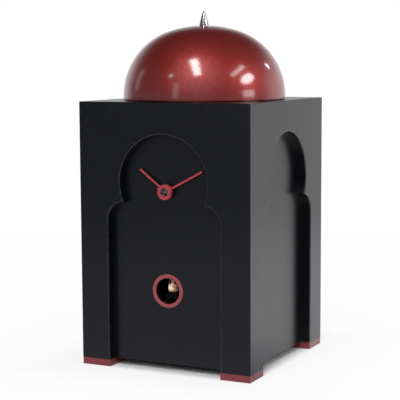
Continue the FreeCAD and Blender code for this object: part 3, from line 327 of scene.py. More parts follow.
FINISHES = {
    # Black satin lacquer sprayed on sanded board: even and deep, with a soft sheen and faint spray marks
    "black_lacquered_wood": finish(
        "black_satin_lacquer_on_wood", [(0.3, "#020406"), (0.7, "#04070b")], 1.6, (0.25, 0.31),
        relief=0.004, detail=4.0, patches=14.0, IOR=1.54
    ),
    # Metallic red lacquer under clear gloss, on turned wood
    "red_metallic_lacquer": finish("metallic_red_lacquer_under_clear_gloss", build=flake_lacquer),
    # Red satin lacquer on small wooden blocks: a soft sheen and slightly darker patches
    "red_lacquer": finish(
        "red_satin_lacquer_on_wood", [(0.3, "#722c2f"), (0.7, "#7d3235")], 1.4, (0.22, 0.32),
        relief=0.012, patches=9.0, IOR=1.6
    ),
    # Red enamel baked on thin metal: smooth, with a low satin sheen
    "red_painted_metal": finish(
        "red_enamel_on_metal", [(0.3, "#9c3539"), (0.7, "#a73c40")], 0.9, (0.3, 0.4),
        relief=0.006, IOR=1.52
    ),
    # Bright chrome plate on a turned and polished spike: mirror-like, with faint lathe rings
    "chrome": finish(
        "polished_chrome_plate", "#c4c0bb", 0.5, (0.14, 0.26), drawn_out=(0.02, 0.02, 1.0), Metallic=1.0
    ),
    # Zinc-plated steel from the press: grey, slightly cloudy and fairly bright
    "steel": finish(
        "zinc_plated_steel", [(0.3, "#a9abae"), (0.7, "#c3c5c8")], 2.5, (0.24, 0.4),
        relief=0.004, Metallic=1.0
    ),
    # Brass cut on a lathe: warm and bright, with fine turning marks
    "brass": finish(
        "turned_brass", [(0.3, "#b8923f"), (0.7, "#cda855")], 0.4, (0.2, 0.34), Metallic=1.0
    ),
    # Sawn and sanded softwood: pale, with darker growth lines along the board
    "plain_wood": finish(
        "sanded_softwood", [(0.35, "#b8935f"), (0.6, "#cbab7a")], 2.2, (0.55, 0.75),
        relief=0.05, detail=5.0, drawn_out=(1.0, 1.0, 0.06), IOR=1.5
    ),
    # Cream water paint brushed on carved wood: matt, with brownish patches at random and brush lines
    "cream_painted_wood": finish(
        "cream_paint_on_carved_wood", [(0.36, "#c98d5e"), (0.5, "#f2d0aa"), (0.62, "#fff0e0")],
        0.7, (0.4, 0.6), relief=0.06, detail=4.0, drawn_out=(1.0, 1.0, 0.25), patches=5.0, IOR=1.5
    ),
    # Dark red paint on the carved beak: semi-gloss, with thin spots
    "beak_red": finish(
        "dark_red_paint_on_carved_wood", [(0.3, "#5a140f"), (0.7, "#761e16")], 0.8, (0.35, 0.5), IOR=1.5
    ),
    # Injection-moulded plastics: a fine spark texture and a dull sheen
    "grey_plastic": finish(
        "moulded_grey_abs", [(0.3, "#5a5b5d"), (0.7, "#66676a")], 0.5, (0.45, 0.6),
        relief=0.01, detail=2.0, IOR=1.53
    ),
    "black_plastic": finish(
        "moulded_black_abs", [(0.3, "#060607"), (0.7, "#0b0b0c")], 0.5, (0.45, 0.6),
        relief=0.01, detail=2.0, IOR=1.26
    ),
    "white_plastic": finish(
        "moulded_white_acetal", [(0.3, "#d9d9d4"), (0.7, "#e8e8e4")], 0.5, (0.45, 0.6),
        relief=0.01, detail=2.0, IOR=1.53
    ),
    # Green solder resist over glass epoxy: glossy, with darker copper runs under it
    "circuit_board": finish(
        "green_solder_resist", [(0.4, "#16512b"), (0.6, "#23703d")], 1.5, (0.2, 0.35),
        drawn_out=(1.0, 1.0, 0.2), IOR=1.55
    ),
    # Enamelled copper wire
    "copper_winding": finish("enamelled_copper_wire", build=wound_wire),
    # Black pressed paper of a loudspeaker cone: fibrous and matt
    "paper_cone": finish(
        "black_pressed_paper", [(0.3, "#1c1b1a"), (0.7, "#2c2a28")], 0.8, (0.8, 0.95),
        relief=0.06, detail=5.0, IOR=1.45
    ),
    # Sintered ferrite: dark grey ceramic with a fine dull grain
    "magnet_steel": finish(
        "sintered_ferrite", [(0.3, "#35363a"), (0.7, "#4a4b50")], 0.6, (0.5, 0.65),
        detail=4.0, Metallic=0.6
    ),
    # Plain drawn-steel cell jacket: fine lengthwise lines and a soft shine
    "battery_jacket": finish(
        "drawn_steel_jacket", [(0.3, "#8d8f94"), (0.7, "#a8aaaf")], 0.4, (0.28, 0.42),
        drawn_out=(0.05, 1.0, 1.0), Metallic=1.0
    ),
}

# Painted highlight: the black lacquer along the openings' cut arris, painted a little greyer and made
# glossier than the faces, so that the edge shows a light line
arris_painted_highlight = finish(
    "black_lacquer_with_painted_highlight_on_arris", [(0.35, "#0f1114"), (0.65, "#202328")], 4.0, (0.18, 0.28), IOR=1.54
)
# Painted shade: a thin dark red down the porthole's bore behind the red front edge, and on the bird's legs
# under its body, where shade falls
painted_shade_dark_red = finish(
    "dark_red_painted_shade", [(0.3, "#14060a"), (0.7, "#240b10")], 1.2, (0.35, 0.5), IOR=1.5
)
# The red enamel on the porthole's turned ring, a little duller than on the hands
ring_finish = finish(
    "red_enamel_on_turned_ring", [(0.3, "#8e4143"), (0.7, "#99484b")], 0.9, (0.3, 0.4),
    relief=0.006, IOR=1.52
)
# Nickel-plated steel on the hand nut, darkened as a painted reflection of the dim room in front, and scuffed
# by the spanner in brighter patches that catch the lamps
nut_painted_dark_reflection = finish(
    "nickel_plated_steel_darkened_as_painted_reflection", [(0.48, "#1a1b1d"), (0.64, "#c8c8ca")], 1.2, (0.1, 0.3),
    relief=0.05, Metallic=1.0
)


# Making pieces

def object_from(name, mesh):
    """An object in the scene, from a mesh in millimetres."""
    data = bpy.data.meshes.new(name)
    bmesh.ops.recalc_face_normals(mesh, faces=mesh.faces)
    bmesh.ops.scale(mesh, vec=(MM, MM, MM), verts=mesh.verts)
    mesh.to_mesh(data)
    mesh.free()
    made = bpy.data.objects.new(name, data)
    bpy.context.scene.collection.objects.link(made)
    return made


def shade_evenly(piece):
    """Let large faces lead the shading, so that flat faces look flat beside their eased edges."""
    piece.modifiers.new("even_shading", "WEIGHTED_NORMAL").keep_sharp = True


def mesh_piece(name, mesh, slot, body, nodes, smooth_below=35.0):
    """Turn a mesh into a piece of the clock that stands for some of its nodes.

    Edges flatter than an angle in degrees are shaded smooth.
    """
    piece = object_from(name, mesh)
    piece.data.materials.append(FINISHES[slot])
    piece.data.shade_smooth()
    piece.data.set_sharp_from_angle(angle=math.radians(smooth_below))
    shade_evenly(piece)
    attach(piece, body)
    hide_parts(*nodes)
    return piece


def carve(piece, how, *meshes):
    """Join shapes to a piece (UNION) or cut them out of it (DIFFERENCE), and keep only the result."""
    piece.modifiers.clear()
    for mesh in meshes:
        cutter = object_from(piece.name + "_cutter", mesh)
        step = piece.modifiers.new("cut", "BOOLEAN")
        step.operation = how
        step.solver = "EXACT"
        step.object = cutter
        bpy.context.view_layer.update()
        graph = bpy.context.evaluated_depsgraph_get()
        result = bpy.data.meshes.new_from_object(piece.evaluated_get(graph))
        piece.modifiers.clear()
        piece.data = result
        bpy.data.objects.remove(cutter)
    shade_evenly(piece)


def turned(profile, sides, start, direction):
    """Turn a closed outline of (radius, height) round a line, as on a lathe."""
    mesh = bmesh.new()
    turn = direction.to_track_quat("Z", "Y").to_matrix()
    rings = []
    for radius, height in profile:
        if radius < ON_AXIS:
            rings.append([mesh.verts.new(start + turn @ Vector((0, 0, height)))])
            continue
        ring = []
        for side in range(sides):
            angle = 2 * math.pi * side / sides
            ring.append(mesh.verts.new(start + turn @ Vector((
                radius * math.cos(angle), radius * math.sin(angle), height
            ))))
        rings.append(ring)
    pairs = list(zip(rings, rings[1:]))
    if len(rings[0]) > 1:
        pairs.append((rings[-1], rings[0]))
    for low, high in pairs:
        for side in range(sides):
            after = (side + 1) % sides
            if len(low) == 1 and len(high) == 1:
                continue
            if len(low) == 1:
                mesh.faces.new((low[0], high[after], high[side]))
            elif len(high) == 1:
                mesh.faces.new((low[side], low[after], high[0]))
            else:
                mesh.faces.new((low[side], low[after], high[after], high[side]))
    return mesh


def oval_rings(sections, sides, offset=0.0):
    """A closed form through level ovals, all moved sideways by an offset."""
    mesh = bmesh.new()
    rings = []
    for height, half_width, half_depth, middle in sections:
        ring = []
        for side in range(sides):
            angle = 2 * math.pi * side / sides
            ring.append(mesh.verts.new((
                offset + half_width * math.sin(angle), middle - half_depth * math.cos(angle), height
            )))
        rings.append(ring)
    for low, high in zip(rings, rings[1:]):
        for side in range(sides):
            after = (side + 1) % sides
            mesh.faces.new((low[side], low[after], high[after], high[side]))
    mesh.faces.new(rings[0])
    mesh.faces.new(rings[-1])
    return mesh


def block(low, high, edge=0.0):
    """A block between two corners, with every edge rounded."""
    mesh = bmesh.new()
    bmesh.ops.create_cube(mesh, size=1.0)
    size = [b - a for a, b in zip(low, high)]
    middle = [(a + b) / 2 for a, b in zip(low, high)]
    bmesh.ops.scale(mesh, vec=size, verts=mesh.verts)
    bmesh.ops.translate(mesh, vec=middle, verts=mesh.verts)
    if edge:
        bmesh.ops.bevel(mesh, geom=mesh.edges[:], offset=edge, segments=2, profile=0.5, affect="EDGES")
    return mesh


def arc(centre, radius, start, end, steps):
    """Points of an arc in a plane, from one angle to another, in degrees."""
    points = []
    for step in range(steps + 1):
        angle = math.radians(start + (end - start) * step / steps)
        points.append((centre[0] + radius * math.cos(angle), centre[1] + radius * math.sin(angle)))
    return points


def eased(points, radii, steps):
    """Round the corners of a closed outline; each corner has its own radius, and 0 leaves it sharp."""
    result = []
    count = len(points)
    for index, (point, radius) in enumerate(zip(points, radii)):
        if radius <= 0:
            result.append(point)
            continue
        here = Vector(point)
        before = (Vector(points[index - 1]) - here).normalized()
        after = (Vector(points[(index + 1) % count]) - here).normalized()
        half = math.acos(max(-1.0, min(1.0, before.dot(after)))) / 2
        reach = radius / math.tan(half)
        middle = here + (before + after).normalized() * (radius / math.sin(half))
        first = here + before * reach - middle
        last = here + after * reach - middle
        sweep = math.atan2(first.x * last.y - first.y * last.x, first.dot(last))
        for step in range(steps + 1):
            angle = sweep * step / steps
            x = first.x * math.cos(angle) - first.y * math.sin(angle)
            y = first.x * math.sin(angle) + first.y * math.cos(angle)
            result.append((middle.x + x, middle.y + y))
    return result


# Arch boards

def opening_line(grow):
    """The arch opening's line (x, z) from foot to foot, pushed out into the board by a small distance."""
    corner = (leg_edge - shoulder_radius, notch_height - shoulder_radius)
    small, large = shoulder_radius + grow, arch_radius + grow
    way = Vector((-corner[0], arch_centre_height - corner[1]))
    span = way.length
    along = (small ** 2 - large ** 2 + span ** 2) / (2 * span)
    across = math.sqrt(small ** 2 - along ** 2)
    way.normalize()
    meet = Vector(corner) + way * along + Vector((way.y, -way.x)) * across
    end = math.degrees(math.atan2(meet.y - corner[1], meet.x - corner[0]))
    right = [(leg_edge + grow, case_bottom)] + arc(corner, small, 0, end, shoulder_steps)
    rise = math.degrees(math.atan2(meet.y - arch_centre_height, meet.x))
    top = arc((0, arch_centre_height), large, rise, 180 - rise, arch_steps)
    left = [(-x, z) for x, z in reversed(right)]
    return right + top[1:-1] + left


def corner_line(step_up):
    """The board's outer line (x, y) at one step of its eased top edge, mitre to mitre, and its height."""
    angle = math.pi / 2 * step_up / outer_edge_steps
    radius = outer_edge * math.cos(angle)
    height = case_top - outer_edge + outer_edge * math.sin(angle)
    middle = case_half - outer_edge
    right = []
    for step in range(outer_edge_steps + 1):
        turn = math.pi / 4 * (1 - step / outer_edge_steps)
        right.append((middle + radius * math.sin(turn), -(middle + radius * math.cos(turn))))
    left = [(-x, y) for x, y in reversed(right)]
    return right + left, height


def arch_board(turn):
    """One mitred board of the case with its arched opening, every outer edge and the opening's edge eased."""
    mesh = bmesh.new()

    def corners(points):
        return [mesh.verts.new(Vector(point)) for point in points]

    plan = corner_line(0)[0]
    low = corners([(x, y, case_bottom) for x, y in plan])
    levels = []
    for step in range(outer_edge_steps + 1):
        line, height = corner_line(step)
        levels.append(corners([(x, y, height) for x, y in line]))
    inner = []
    for step in range(opening_edge_steps + 1):
        angle = math.pi / 2 * step / opening_edge_steps
        grow = opening_edge * (1 - math.sin(angle))
        y = -case_half + opening_edge * (1 - math.cos(angle))
        inner.append(corners([(x, y, z) for x, z in opening_line(grow)]))
    inner.append(corners([(x, -board_inside, z) for x, z in opening_line(0)]))
    back_right = corners([(board_inside, -board_inside, z) for z in (case_bottom, case_top)])
    back_left = corners([(-board_inside, -board_inside, z) for z in (case_top, case_bottom)])
    side = outer_edge_steps + 1

    for step in range(outer_edge_steps):
        mesh.faces.new((low[step], low[step + 1], levels[0][step + 1], levels[0][step]))
        left = side + step
        mesh.faces.new((low[left], low[left + 1], levels[0][left + 1], levels[0][left]))
    front_right, front_left = levels[0][side - 1], levels[0][side]
    mesh.faces.new([low[side - 1], front_right, front_left, low[side]] + inner[0][::-1])
    for lower, upper in zip(levels, levels[1:]):
        for index in range(len(lower) - 1):
            mesh.faces.new((lower[index], lower[index + 1], upper[index + 1], upper[index]))
    mesh.faces.new([levels[-1][0], levels[-1][-1], back_left[0], back_right[1]])
    # The eased opening edge takes the painted highlight, and the rest of the opening takes plain lacquer
    for step, (front, rear) in enumerate(zip(inner, inner[1:])):
        for index in range(len(front) - 1):
            face = mesh.faces.new((front[index], front[index + 1], rear[index + 1], rear[index]))
            face.material_index = 1 if step < opening_edge_steps else 0
    mesh.faces.new([back_right[0], back_right[1], back_left[0], back_left[1]] + inner[-1][::-1])
    mesh.faces.new([low[0]] + [level[0] for level in levels] + [back_right[1], back_right[0]])
    mesh.faces.new([low[-1]] + [level[-1] for level in levels] + [back_left[0], back_left[1]])
    mesh.faces.new(low[:side] + [line[0] for line in inner] + [back_right[0]])
    mesh.faces.new(low[:side - 1:-1] + [line[-1] for line in inner] + [back_left[1]])
    bmesh.ops.remove_doubles(mesh, verts=mesh.verts, dist=SAME_POINT)
    round_case = Matrix.Rotation(math.radians(turn), 3, "Z")
    bmesh.ops.rotate(mesh, cent=(0, 0, 0), matrix=round_case, verts=mesh.verts)
    return mesh


for name, turn in (("front", 0), ("right", 90), ("rear", 180), ("left", 270)):
    board = mesh_piece(
        name + "_arch_board", arch_board(turn), "black_lacquered_wood", "case", [name + "_arch_panel"],
        smooth_below=50.0
    )
    # Second material: the painted highlight along the opening's eased edge
    board.data.materials.append(arris_painted_highlight)


# Dome and spike

def dome_line():
    """The dome's section, as points (radius, height) from its hollow round the rim to its top."""
    reach = dome_height - dome_shoulder_radius
    shoulder_x = dome_radius - dome_shoulder_radius
    drop = (reach ** 2 - shoulder_x ** 2 - dome_skirt ** 2) / (2 * (reach - dome_skirt))
    crown_radius = dome_height - drop
    join = math.degrees(math.atan2(dome_skirt - drop, shoulder_x))
    top = math.degrees(math.acos(spike_radius / crown_radius))
    outer = arc((dome_radius - dome_rim_edge, dome_gap + dome_rim_edge), dome_rim_edge, -90, 0, rim_steps)
    outer += arc((shoulder_x, dome_skirt), dome_shoulder_radius, 0, join, shoulder_of_dome_steps)
    outer += arc((0, drop), crown_radius, join, top, crown_steps)[1:]
    top_height = outer[-1][1]
    return [
        (0, hollow_top_height), (hollow_top_radius, hollow_top_height), (hollow_top_radius, hollow_height),
        (hollow_radius, hollow_height), (hollow_radius, seat_thickness), (seat_space_radius, seat_thickness),
        (seat_space_radius, dome_gap),
    ] + outer + [
        (stud_hole_radius, top_height), (stud_hole_radius, top_height - stud_hole_depth),
        (0, top_height - stud_hole_depth),
    ]


def spike_line():
    """The spike's section, with its stud, slightly bulging sides and a round tip."""
    tip_base = spike_height - spike_tip_radius
    line = [(0, -spike_stud_length), (spike_stud_radius, -spike_stud_length), (spike_stud_radius, 0)]
    for step in range(spike_steps + 1):
        share = step / spike_steps
        bulge = spike_bulge * 4 * share * (1 - share)
        line.append((spike_radius + (spike_tip_radius - spike_radius) * share + bulge, tip_base * share))
    line += arc((0, tip_base), spike_tip_radius, 12, 90, spike_tip_steps)
    line[-1] = (0, spike_height)
    return line


dome_outline = dome_line()
dome_top = Vector((0, 0, case_top + dome_outline[-3][1]))
mesh_piece(
    "turned_dome", turned(dome_outline, dome_sides, Vector((0, 0, case_top)), UP),
    "red_metallic_lacquer", "case", ["dome"]
)
mesh_piece("chrome_spike", turned(spike_line(), spike_sides, dome_top, UP), "chrome", "case", ["spike"])


# Porthole ring, its bore darkened with painted shade behind the red front edge

ring_line = eased(
    [
        (ring_bore, sleeve_length), (sleeve_radius, sleeve_length), (sleeve_radius, 0), (ring_edge, 0),
        (ring_edge, ring_front), (ring_bore, ring_front), (ring_bore, painted_shade_starts)
    ],
    [0, 0.3, 0, 0, 0.6, 0.6, 0], steps=5
)
sleeve = mesh_piece(
    "porthole_sleeve",
    turned(ring_line, ring_sides, Vector((0, -board_inside, porthole_height)), FRONT_TO_BACK),
    "red_painted_metal", "case", ["porthole_ring"]
)
sleeve.data.materials[0] = ring_finish
# Faces of the bore behind that depth take the painted shade
sleeve.data.materials.append(painted_shade_dark_red)
for face in sleeve.data.polygons:
    from_axis = math.hypot(face.center.x, face.center.z - porthole_height * MM)
    if from_axis < (ring_bore + 0.1) * MM and face.center.y > (painted_shade_starts - board_inside) * MM:
        face.material_index = 1


# Feet

for name, side_x, side_y in (
    ("foot_front_left", -1, -1), ("foot_front_right", 1, -1),
    ("foot_rear_left", -1, 1), ("foot_rear_right", 1, 1),
):
    xs = sorted((side_x * foot_inner_edge, side_x * foot_outer_edge))
    ys = sorted((side_y * foot_inner_edge, side_y * foot_outer_edge))
    foot = mesh_piece(
        name + "_block", block((xs[0], ys[0], 0), (xs[1], ys[1], case_bottom), foot_edge),
        "red_lacquer", "case", [name]
    )
    screw_place = Vector((side_x * foot_screw_place, side_y * foot_screw_place, 0))
    carve(foot, "DIFFERENCE", turned(foot_hole_line, foot_hole_sides, screw_place, UP))


# Hands and their nut

def on_dial(y):
    """The point on the hands' axis at this depth."""
    return Vector((0, y, dial_height))


def hand_bar(start, reach, front, angle):
    """A straight hand bar from one distance to another out from the dial's centre."""
    rear = front + hand_thickness
    mesh = block((-hand_half_width, front, start), (hand_half_width, rear, reach), hand_edge)
    round_dial = Matrix.Rotation(math.radians(angle), 3, "Y")
    bmesh.ops.rotate(mesh, cent=(0, 0, 0), matrix=round_dial, verts=mesh.verts)
    bmesh.ops.translate(mesh, vec=(0, 0, dial_height), verts=mesh.verts)
    return mesh


def shaft_space(front, back):
    """The space that the flattened end of the minute shaft fills."""
    return block(
        (-shaft_half_width, front, dial_height - shaft_half_height),
        (shaft_half_width, back, dial_height + shaft_half_height)
    )


hour_disc_line = eased(
    [(hour_bore, 0), (hour_disc_radius, 0), (hour_disc_radius, hand_thickness), (hour_bore, hand_thickness)],
    [0, hand_edge, 0, 0], steps=3
)
hour = mesh_piece(
    "hour_hand_bar", turned(hour_disc_line, hour_disc_sides, on_dial(hour_front), FRONT_TO_BACK),
    "red_painted_metal", "hour", ["hour_hand"]
)
carve(hour, "UNION", hand_bar(hour_start, hour_reach, hour_front, hour_angle))

hub_line = eased(
    [
        (0, hub_recess_depth), (hub_recess_radius, hub_recess_depth), (hub_recess_radius, 0), (hub_radius, 0),
        (hub_radius, hub_thickness), (0, hub_thickness)
    ],
    [0, 0, 0.3, 0.55, 0.2, 0], steps=4
)
minute = mesh_piece(
    "minute_hand_and_hub", turned(hub_line, hub_sides, on_dial(hub_front), FRONT_TO_BACK),
    "red_painted_metal", "minute", ["minute_hand"]
)
carve(minute, "UNION", hand_bar(minute_start, minute_reach, minute_front, minute_angle))
carve(minute, "DIFFERENCE", shaft_space(-105.0, -102.0))

nut_line = eased(
    [(0, 0), (nut_radius, 0), (nut_radius, nut_thickness), (0, nut_thickness)], [0, 0.2, 0, 0], steps=3
)
nut = mesh_piece(
    "spanner_nut", turned(nut_line, nut_sides, on_dial(nut_front), FRONT_TO_BACK),
    "steel", "minute", ["hand_nut"]
)
aside = Vector((pin_hole_place, 0, 0))
carve(
    nut, "DIFFERENCE",
    turned(pin_hole_line, pin_hole_sides, on_dial(nut_front) + aside, FRONT_TO_BACK),
    turned(pin_hole_line, pin_hole_sides, on_dial(nut_front) - aside, FRONT_TO_BACK),
    shaft_space(-106.0, -103.0)
)
# The nut takes the darkened steel, a painted dark reflection
nut.data.materials[0] = nut_painted_dark_reflection


# Bird

def tail_shape():
    """The bird's flat tail, wider at its end."""
    mesh = bmesh.new()
    face = mesh.faces.new([mesh.verts.new((x, y, tail_bottom)) for x, y in tail_corners])
    raised = bmesh.ops.extrude_face_region(mesh, geom=[face])["geom"]
    top = [item for item in raised if isinstance(item, bmesh.types.BMVert)]
    bmesh.ops.translate(mesh, vec=(0, 0, tail_thickness), verts=top)
    bmesh.ops.bevel(mesh, geom=mesh.edges[:], offset=tail_edge, segments=2, affect="EDGES")
    return mesh


bird_smooth_below = 40.0
bird = mesh_piece(
    "carved_bird", oval_rings(bird_sections, bird_sides), "cream_painted_wood", "carriage", ["bird_body"],
    bird_smooth_below
)
other_leg_place = Vector((-leg_place.x, leg_place.y, leg_place.z))
carve(
    bird, "UNION",
    oval_rings(wing_sections, wing_sides, wing_offset), oval_rings(wing_sections, wing_sides, -wing_offset),
    tail_shape(), turned(leg_line, leg_sides, leg_place, UP), turned(leg_line, leg_sides, other_leg_place, UP)
)
# The bird is round all over, so no large face leads its shading
bird.modifiers.clear()
bird.data.shade_smooth()
bird.data.set_sharp_from_angle(angle=math.radians(bird_smooth_below))
# The legs, in the shade under the bird's body, take the painted shade
bird.data.materials.append(painted_shade_dark_red)
for face in bird.data.polygons:
    if face.center.z < legs_end * MM:
        face.material_index = 1

mesh_piece(
    "carved_beak", turned(beak_line, beak_sides, beak_place, beak_way), "beak_red", "carriage", ["bird_beak"]
)


# Rear door's knob

knob_line = eased(
    [
        (0, 0), (knob_stem_radius, 0), (knob_stem_radius, knob_stem_length), (knob_radius, knob_stem_length),
        (knob_radius, knob_length), (0, knob_length)
    ],
    [0, 0, 0.6, 0.8, 1.2, 0], steps=4
)
mesh_piece(
    "turned_knob", turned(knob_line, knob_sides, knob_place, FRONT_TO_BACK), "black_lacquered_wood", "door",
    ["door_knob"]
)


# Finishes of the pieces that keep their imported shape

packed_pieces = {
    "black_lacquered_wood": (
        "front_inner_panel", "right_inner_panel", "rear_inner_panel", "left_inner_panel", "top_board",
        "dome_seat_disc", "rear_door", "bottom_board",
    ),
    "plain_wood": ("corner_posts", "door_catch"),
    "steel": (
        "foot_screws", "dome_screws", "chassis_screws", "bush_nut", "speaker_basket", "battery_contacts",
        "door_pins", "motor", "minute_arbor",
    ),
    "brass": ("centre_bush",),
    "grey_plastic": ("movement_case",),
    "black_plastic": (
        "movement_cover", "battery_holder", "control_box", "setting_knob", "gearbox", "carriage",
        "cuckoo_chassis",
    ),
    "white_plastic": ("hour_wheel", "motion_wheel", "drive_pinion", "mode_switch"),
    "circuit_board": ("circuit_board",),
    "copper_winding": ("coil",),
    "paper_cone": ("speaker_cone",),
    "magnet_steel": ("speaker_magnet",),
    "battery_jacket": ("battery_cells",),
}
for slot, names in packed_pieces.items():
    for name in names:
        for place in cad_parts[name].material_slots:
            place.material = FINISHES[slot]


# Floor

floor_radius = 1.1
floor_sides = 96


def pale_paper(tree):
    """Matt white paper under the clock, which fades into the white backdrop a little way from it.

    The fade is a glow that the camera and mirrors alone see. Mirrors see it darker in front than behind.
    """
    place = add_node(tree, "ShaderNodeTexCoord").outputs["Object"]
    tooth = add_node(
        tree, "ShaderNodeTexNoise", Vector=place, Scale=per_metre(1.0), Detail=3.0
    ).outputs["Fac"]
    paper = add_node(
        tree, "ShaderNodeBsdfPrincipled",
        Base_Color=add_node(
            tree, "ShaderNodeValToRGB", stops=[(0.3, "#e9e9ea"), (0.7, "#ededee")], Fac=tooth
        ).outputs["Color"],
        Roughness=0.9,
        Specular_IOR_Level=0.1,
    )
    path = add_node(tree, "ShaderNodeLightPath").outputs
    seen = path["Is Camera Ray"]
    for mirrored_ray in ("Is Glossy Ray", "Is Transmission Ray"):
        seen = add_node(
            tree, "ShaderNodeMath", {"operation": "MAXIMUM"}, i0=seen, i1=path[mirrored_ray]
        ).outputs["Value"]
    depth = add_node(tree, "ShaderNodeSeparateXYZ", Vector=place).outputs["Y"]
    room_depth = add_node(
        tree, "ShaderNodeMapRange", Value=depth, From_Min=-0.12, From_Max=0.12
    ).outputs["Result"]
    mirrored = add_node(
        tree, "ShaderNodeValToRGB", stops=[(0.0, "#9c9ca6"), (1.0, "#f8f8fb")], Fac=room_depth
    ).outputs["Color"]
    tint = add_node(
        tree, "ShaderNodeMix", {"data_type": "RGBA"},
        i0=path["Is Camera Ray"], i6=mirrored, i7=colour("#ffffff")
    ).outputs[2]
    strength = add_node(
        tree, "ShaderNodeMapRange", Value=path["Is Camera Ray"], To_Min=1.25, To_Max=0.99
    ).outputs["Result"]
    glow = add_node(tree, "ShaderNodeEmission", Color=tint, Strength=strength)
    from_middle = add_node(
        tree, "ShaderNodeVectorMath", {"operation": "ABSOLUTE"}, i0=place
    ).outputs["Vector"]
    flat = add_node(tree, "ShaderNodeSeparateXYZ", Vector=from_middle).outputs
    distance = add_node(
        tree, "ShaderNodeMath", {"operation": "MAXIMUM"}, i0=flat["X"], i1=flat["Y"]
    ).outputs["Value"]
    fade = add_node(
        tree, "ShaderNodeValToRGB",
        stops=[(0.1, "#000000"), (0.113, "#e6e6e6"), (0.2, "#fafafa"), (0.42, "#ffffff")], Fac=distance
    ).outputs["Color"]
    amount = add_node(tree, "ShaderNodeMath", {"operation": "MULTIPLY"}, i0=fade, i1=seen).outputs["Value"]
    return add_node(
        tree, "ShaderNodeMixShader", Fac=amount, i1=paper.outputs["BSDF"], i2=glow.outputs["Emission"]
    ).outputs["Shader"]


floor_mesh = bmesh.new()
bmesh.ops.create_circle(floor_mesh, cap_ends=True, segments=floor_sides, radius=floor_radius)
floor_data = bpy.data.meshes.new("floor")
floor_mesh.to_mesh(floor_data)
floor_mesh.free()
floor_data.materials.append(finish("white_paper", build=pale_paper))
floor = bpy.data.objects.new("floor", floor_data)
bpy.context.scene.collection.objects.link(floor)


# Studio: a white backdrop behind, a dim room in front with a soft glow on its ceiling

backdrop_way = (-0.17, 0.985, 0.0)
ceiling_glow_way = (0.196, -0.785, 0.588)

world = bpy.data.worlds.new("studio")
bpy.context.scene.world = world
world.use_nodes = True
sky = world.node_tree
sky.nodes.clear()
direction = add_node(sky, "ShaderNodeTexCoord").outputs["Generated"]
towards_backdrop = add_node(
    sky, "ShaderNodeVectorMath", {"operation": "DOT_PRODUCT"}, i0=direction, i1=backdrop_way
).outputs["Value"]
backdrop_share = add_node(
    sky, "ShaderNodeMapRange", {"interpolation_type": "SMOOTHSTEP"}, Value=towards_backdrop, From_Min=0.2,
    From_Max=0.65
).outputs["Result"]
rise_of_view = add_node(sky, "ShaderNodeSeparateXYZ", Vector=direction).outputs["Z"]
upward = add_node(
    sky, "ShaderNodeMapRange", Value=rise_of_view, From_Min=-1.0, From_Max=1.0
).outputs["Result"]
backdrop = add_node(
    sky, "ShaderNodeValToRGB", stops=[(0.6, "#f2f2f4"), (0.76, "#4a4a4c"), (0.85, "#1c1c1e")], Fac=upward
).outputs["Color"]
room_front = add_node(
    sky, "ShaderNodeValToRGB",
    stops=[
        (0.3, "#7e7e86"), (0.5, "#7e7e86"), (0.58, "#5c5c62"), (0.72, "#4c4c50"), (0.82, "#1c1c1e"),
        (1.0, "#161618")
    ],
    Fac=upward
).outputs["Color"]
empty_room = add_node(
    sky, "ShaderNodeMix", {"data_type": "RGBA"}, i0=backdrop_share, i6=room_front, i7=backdrop
).outputs[2]
towards_glow = add_node(
    sky, "ShaderNodeVectorMath", {"operation": "DOT_PRODUCT"}, i0=direction, i1=ceiling_glow_way
).outputs["Value"]
glow_share = add_node(
    sky, "ShaderNodeMapRange", {"interpolation_type": "SMOOTHSTEP"}, Value=towards_glow, From_Min=0.72,
    From_Max=0.99, To_Min=0.0, To_Max=0.65
).outputs["Result"]
room = add_node(
    sky, "ShaderNodeMix", {"data_type": "RGBA"}, i0=glow_share, i6=empty_room, i7=colour("#c8c8cc")
).outputs[2]
seen_by_camera = add_node(sky, "ShaderNodeLightPath").outputs["Is Camera Ray"]
shown = add_node(
    sky, "ShaderNodeMix", {"data_type": "RGBA"}, i0=seen_by_camera, i6=room, i7=colour("#ffffff")
).outputs[2]
sky_light = add_node(sky, "ShaderNodeBackground", Color=shown, Strength=1.0)
add_node(sky, "ShaderNodeOutputWorld", Surface=sky_light.outputs["Background"])

# Lamps: azimuth from the front towards +X, height angle, distance, width, height, tilt and power.
# Angles are in degrees, lengths in metres and power in watts.

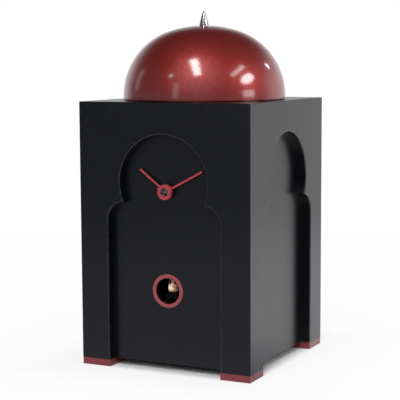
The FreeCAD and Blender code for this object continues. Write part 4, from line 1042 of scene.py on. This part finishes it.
dome_middle = Vector((0, 0, 0.34))
lamps = (
    ("side_softbox", 93.0, 23.5, 2.2, 0.88, 0.46, 15.0, 10.5),
    ("upper_side_strip", 83.0, 37.0, 2.2, 1.05, 0.2, 23.0, 3.0),
    ("front_strip", 10.0, 49.0, 2.2, 0.36, 1.15, 20.0, 16.0),
    ("small_spot", 148.0, 24.0, 2.2, 0.10, 0.18, 0.0, 1.3),
    ("round_lamp", -26.5, 30.5, 2.2, 0.19, 0.19, 0.0, 0.5),
    ("low_strip", -14.0, 9.5, 2.2, 0.30, 0.85, 0.0, 0.8),
    ("left_window", -84.0, 15.0, 2.2, 0.35, 0.8, 0.0, 0.5),
    ("side_panel", 90.0, 3.5, 2.2, 0.7, 0.35, 0.0, 2.6),
    ("top_softbox", 150.0, 70.0, 2.0, 1.6, 1.6, 0.0, 12.0),
    ("front_fill", 12.0, 30.0, 2.2, 1.4, 1.4, 0.0, 28.0),
)
round_lamps = ("side_softbox", "small_spot", "round_lamp")
unseen_in_gloss = ("top_softbox", "front_fill")
lamp_tints = {"small_spot": "#dfe8ff"}


def outward(azimuth, height):
    """The direction at an azimuth and a height angle, in radians."""
    return Vector((
        math.sin(azimuth) * math.cos(height), -math.cos(azimuth) * math.cos(height), math.sin(height)
    ))


for name, azimuth, height, distance, wide, tall, tilt, power in lamps:
    data = bpy.data.lights.new(name, "AREA")
    data.shape = "ELLIPSE" if name in round_lamps else "RECTANGLE"
    data.size = wide
    data.size_y = tall
    data.energy = power
    data.color = colour(lamp_tints.get(name, "#ffffff"))[:3]
    lamp = bpy.data.objects.new(name, data)
    away = outward(math.radians(azimuth), math.radians(height))
    turn = away.to_track_quat("Z", "Y").to_matrix() @ Matrix.Rotation(math.radians(tilt), 3, "Z")
    lamp.matrix_world = Matrix.Translation(dome_middle + away * distance) @ turn.to_4x4()
    lamp.visible_camera = False
    lamp.visible_glossy = name not in unseen_in_gloss
    bpy.context.scene.collection.objects.link(lamp)


# Camera, from the photograph's side

view_azimuth = math.radians(26.471)
view_height = math.radians(6.679)
view_roll = math.radians(-0.299)
camera_place = (0.6674, -1.3551, 0.3679)
film_width = 36.0
focal_length = 111.87
film_shift = 0.00125
nearest_seen = 0.05

back = outward(view_azimuth, view_height)
level = UP.cross(back).normalized()
upright = back.cross(level)
across = level * math.cos(view_roll) + upright * math.sin(view_roll)
rise = upright * math.cos(view_roll) - level * math.sin(view_roll)
camera_data = bpy.data.cameras.new("camera")
camera_data.sensor_width = film_width
camera_data.lens = focal_length
camera_data.shift_x = film_shift
camera_data.clip_start = nearest_seen
camera = bpy.data.objects.new("camera", camera_data)
bpy.context.scene.collection.objects.link(camera)
turn = Matrix((across, rise, back)).transposed().to_4x4()
camera.matrix_world = Matrix.Translation(camera_place) @ turn
bpy.context.scene.camera = camera
bpy.context.scene.view_settings.view_transform = "Standard"
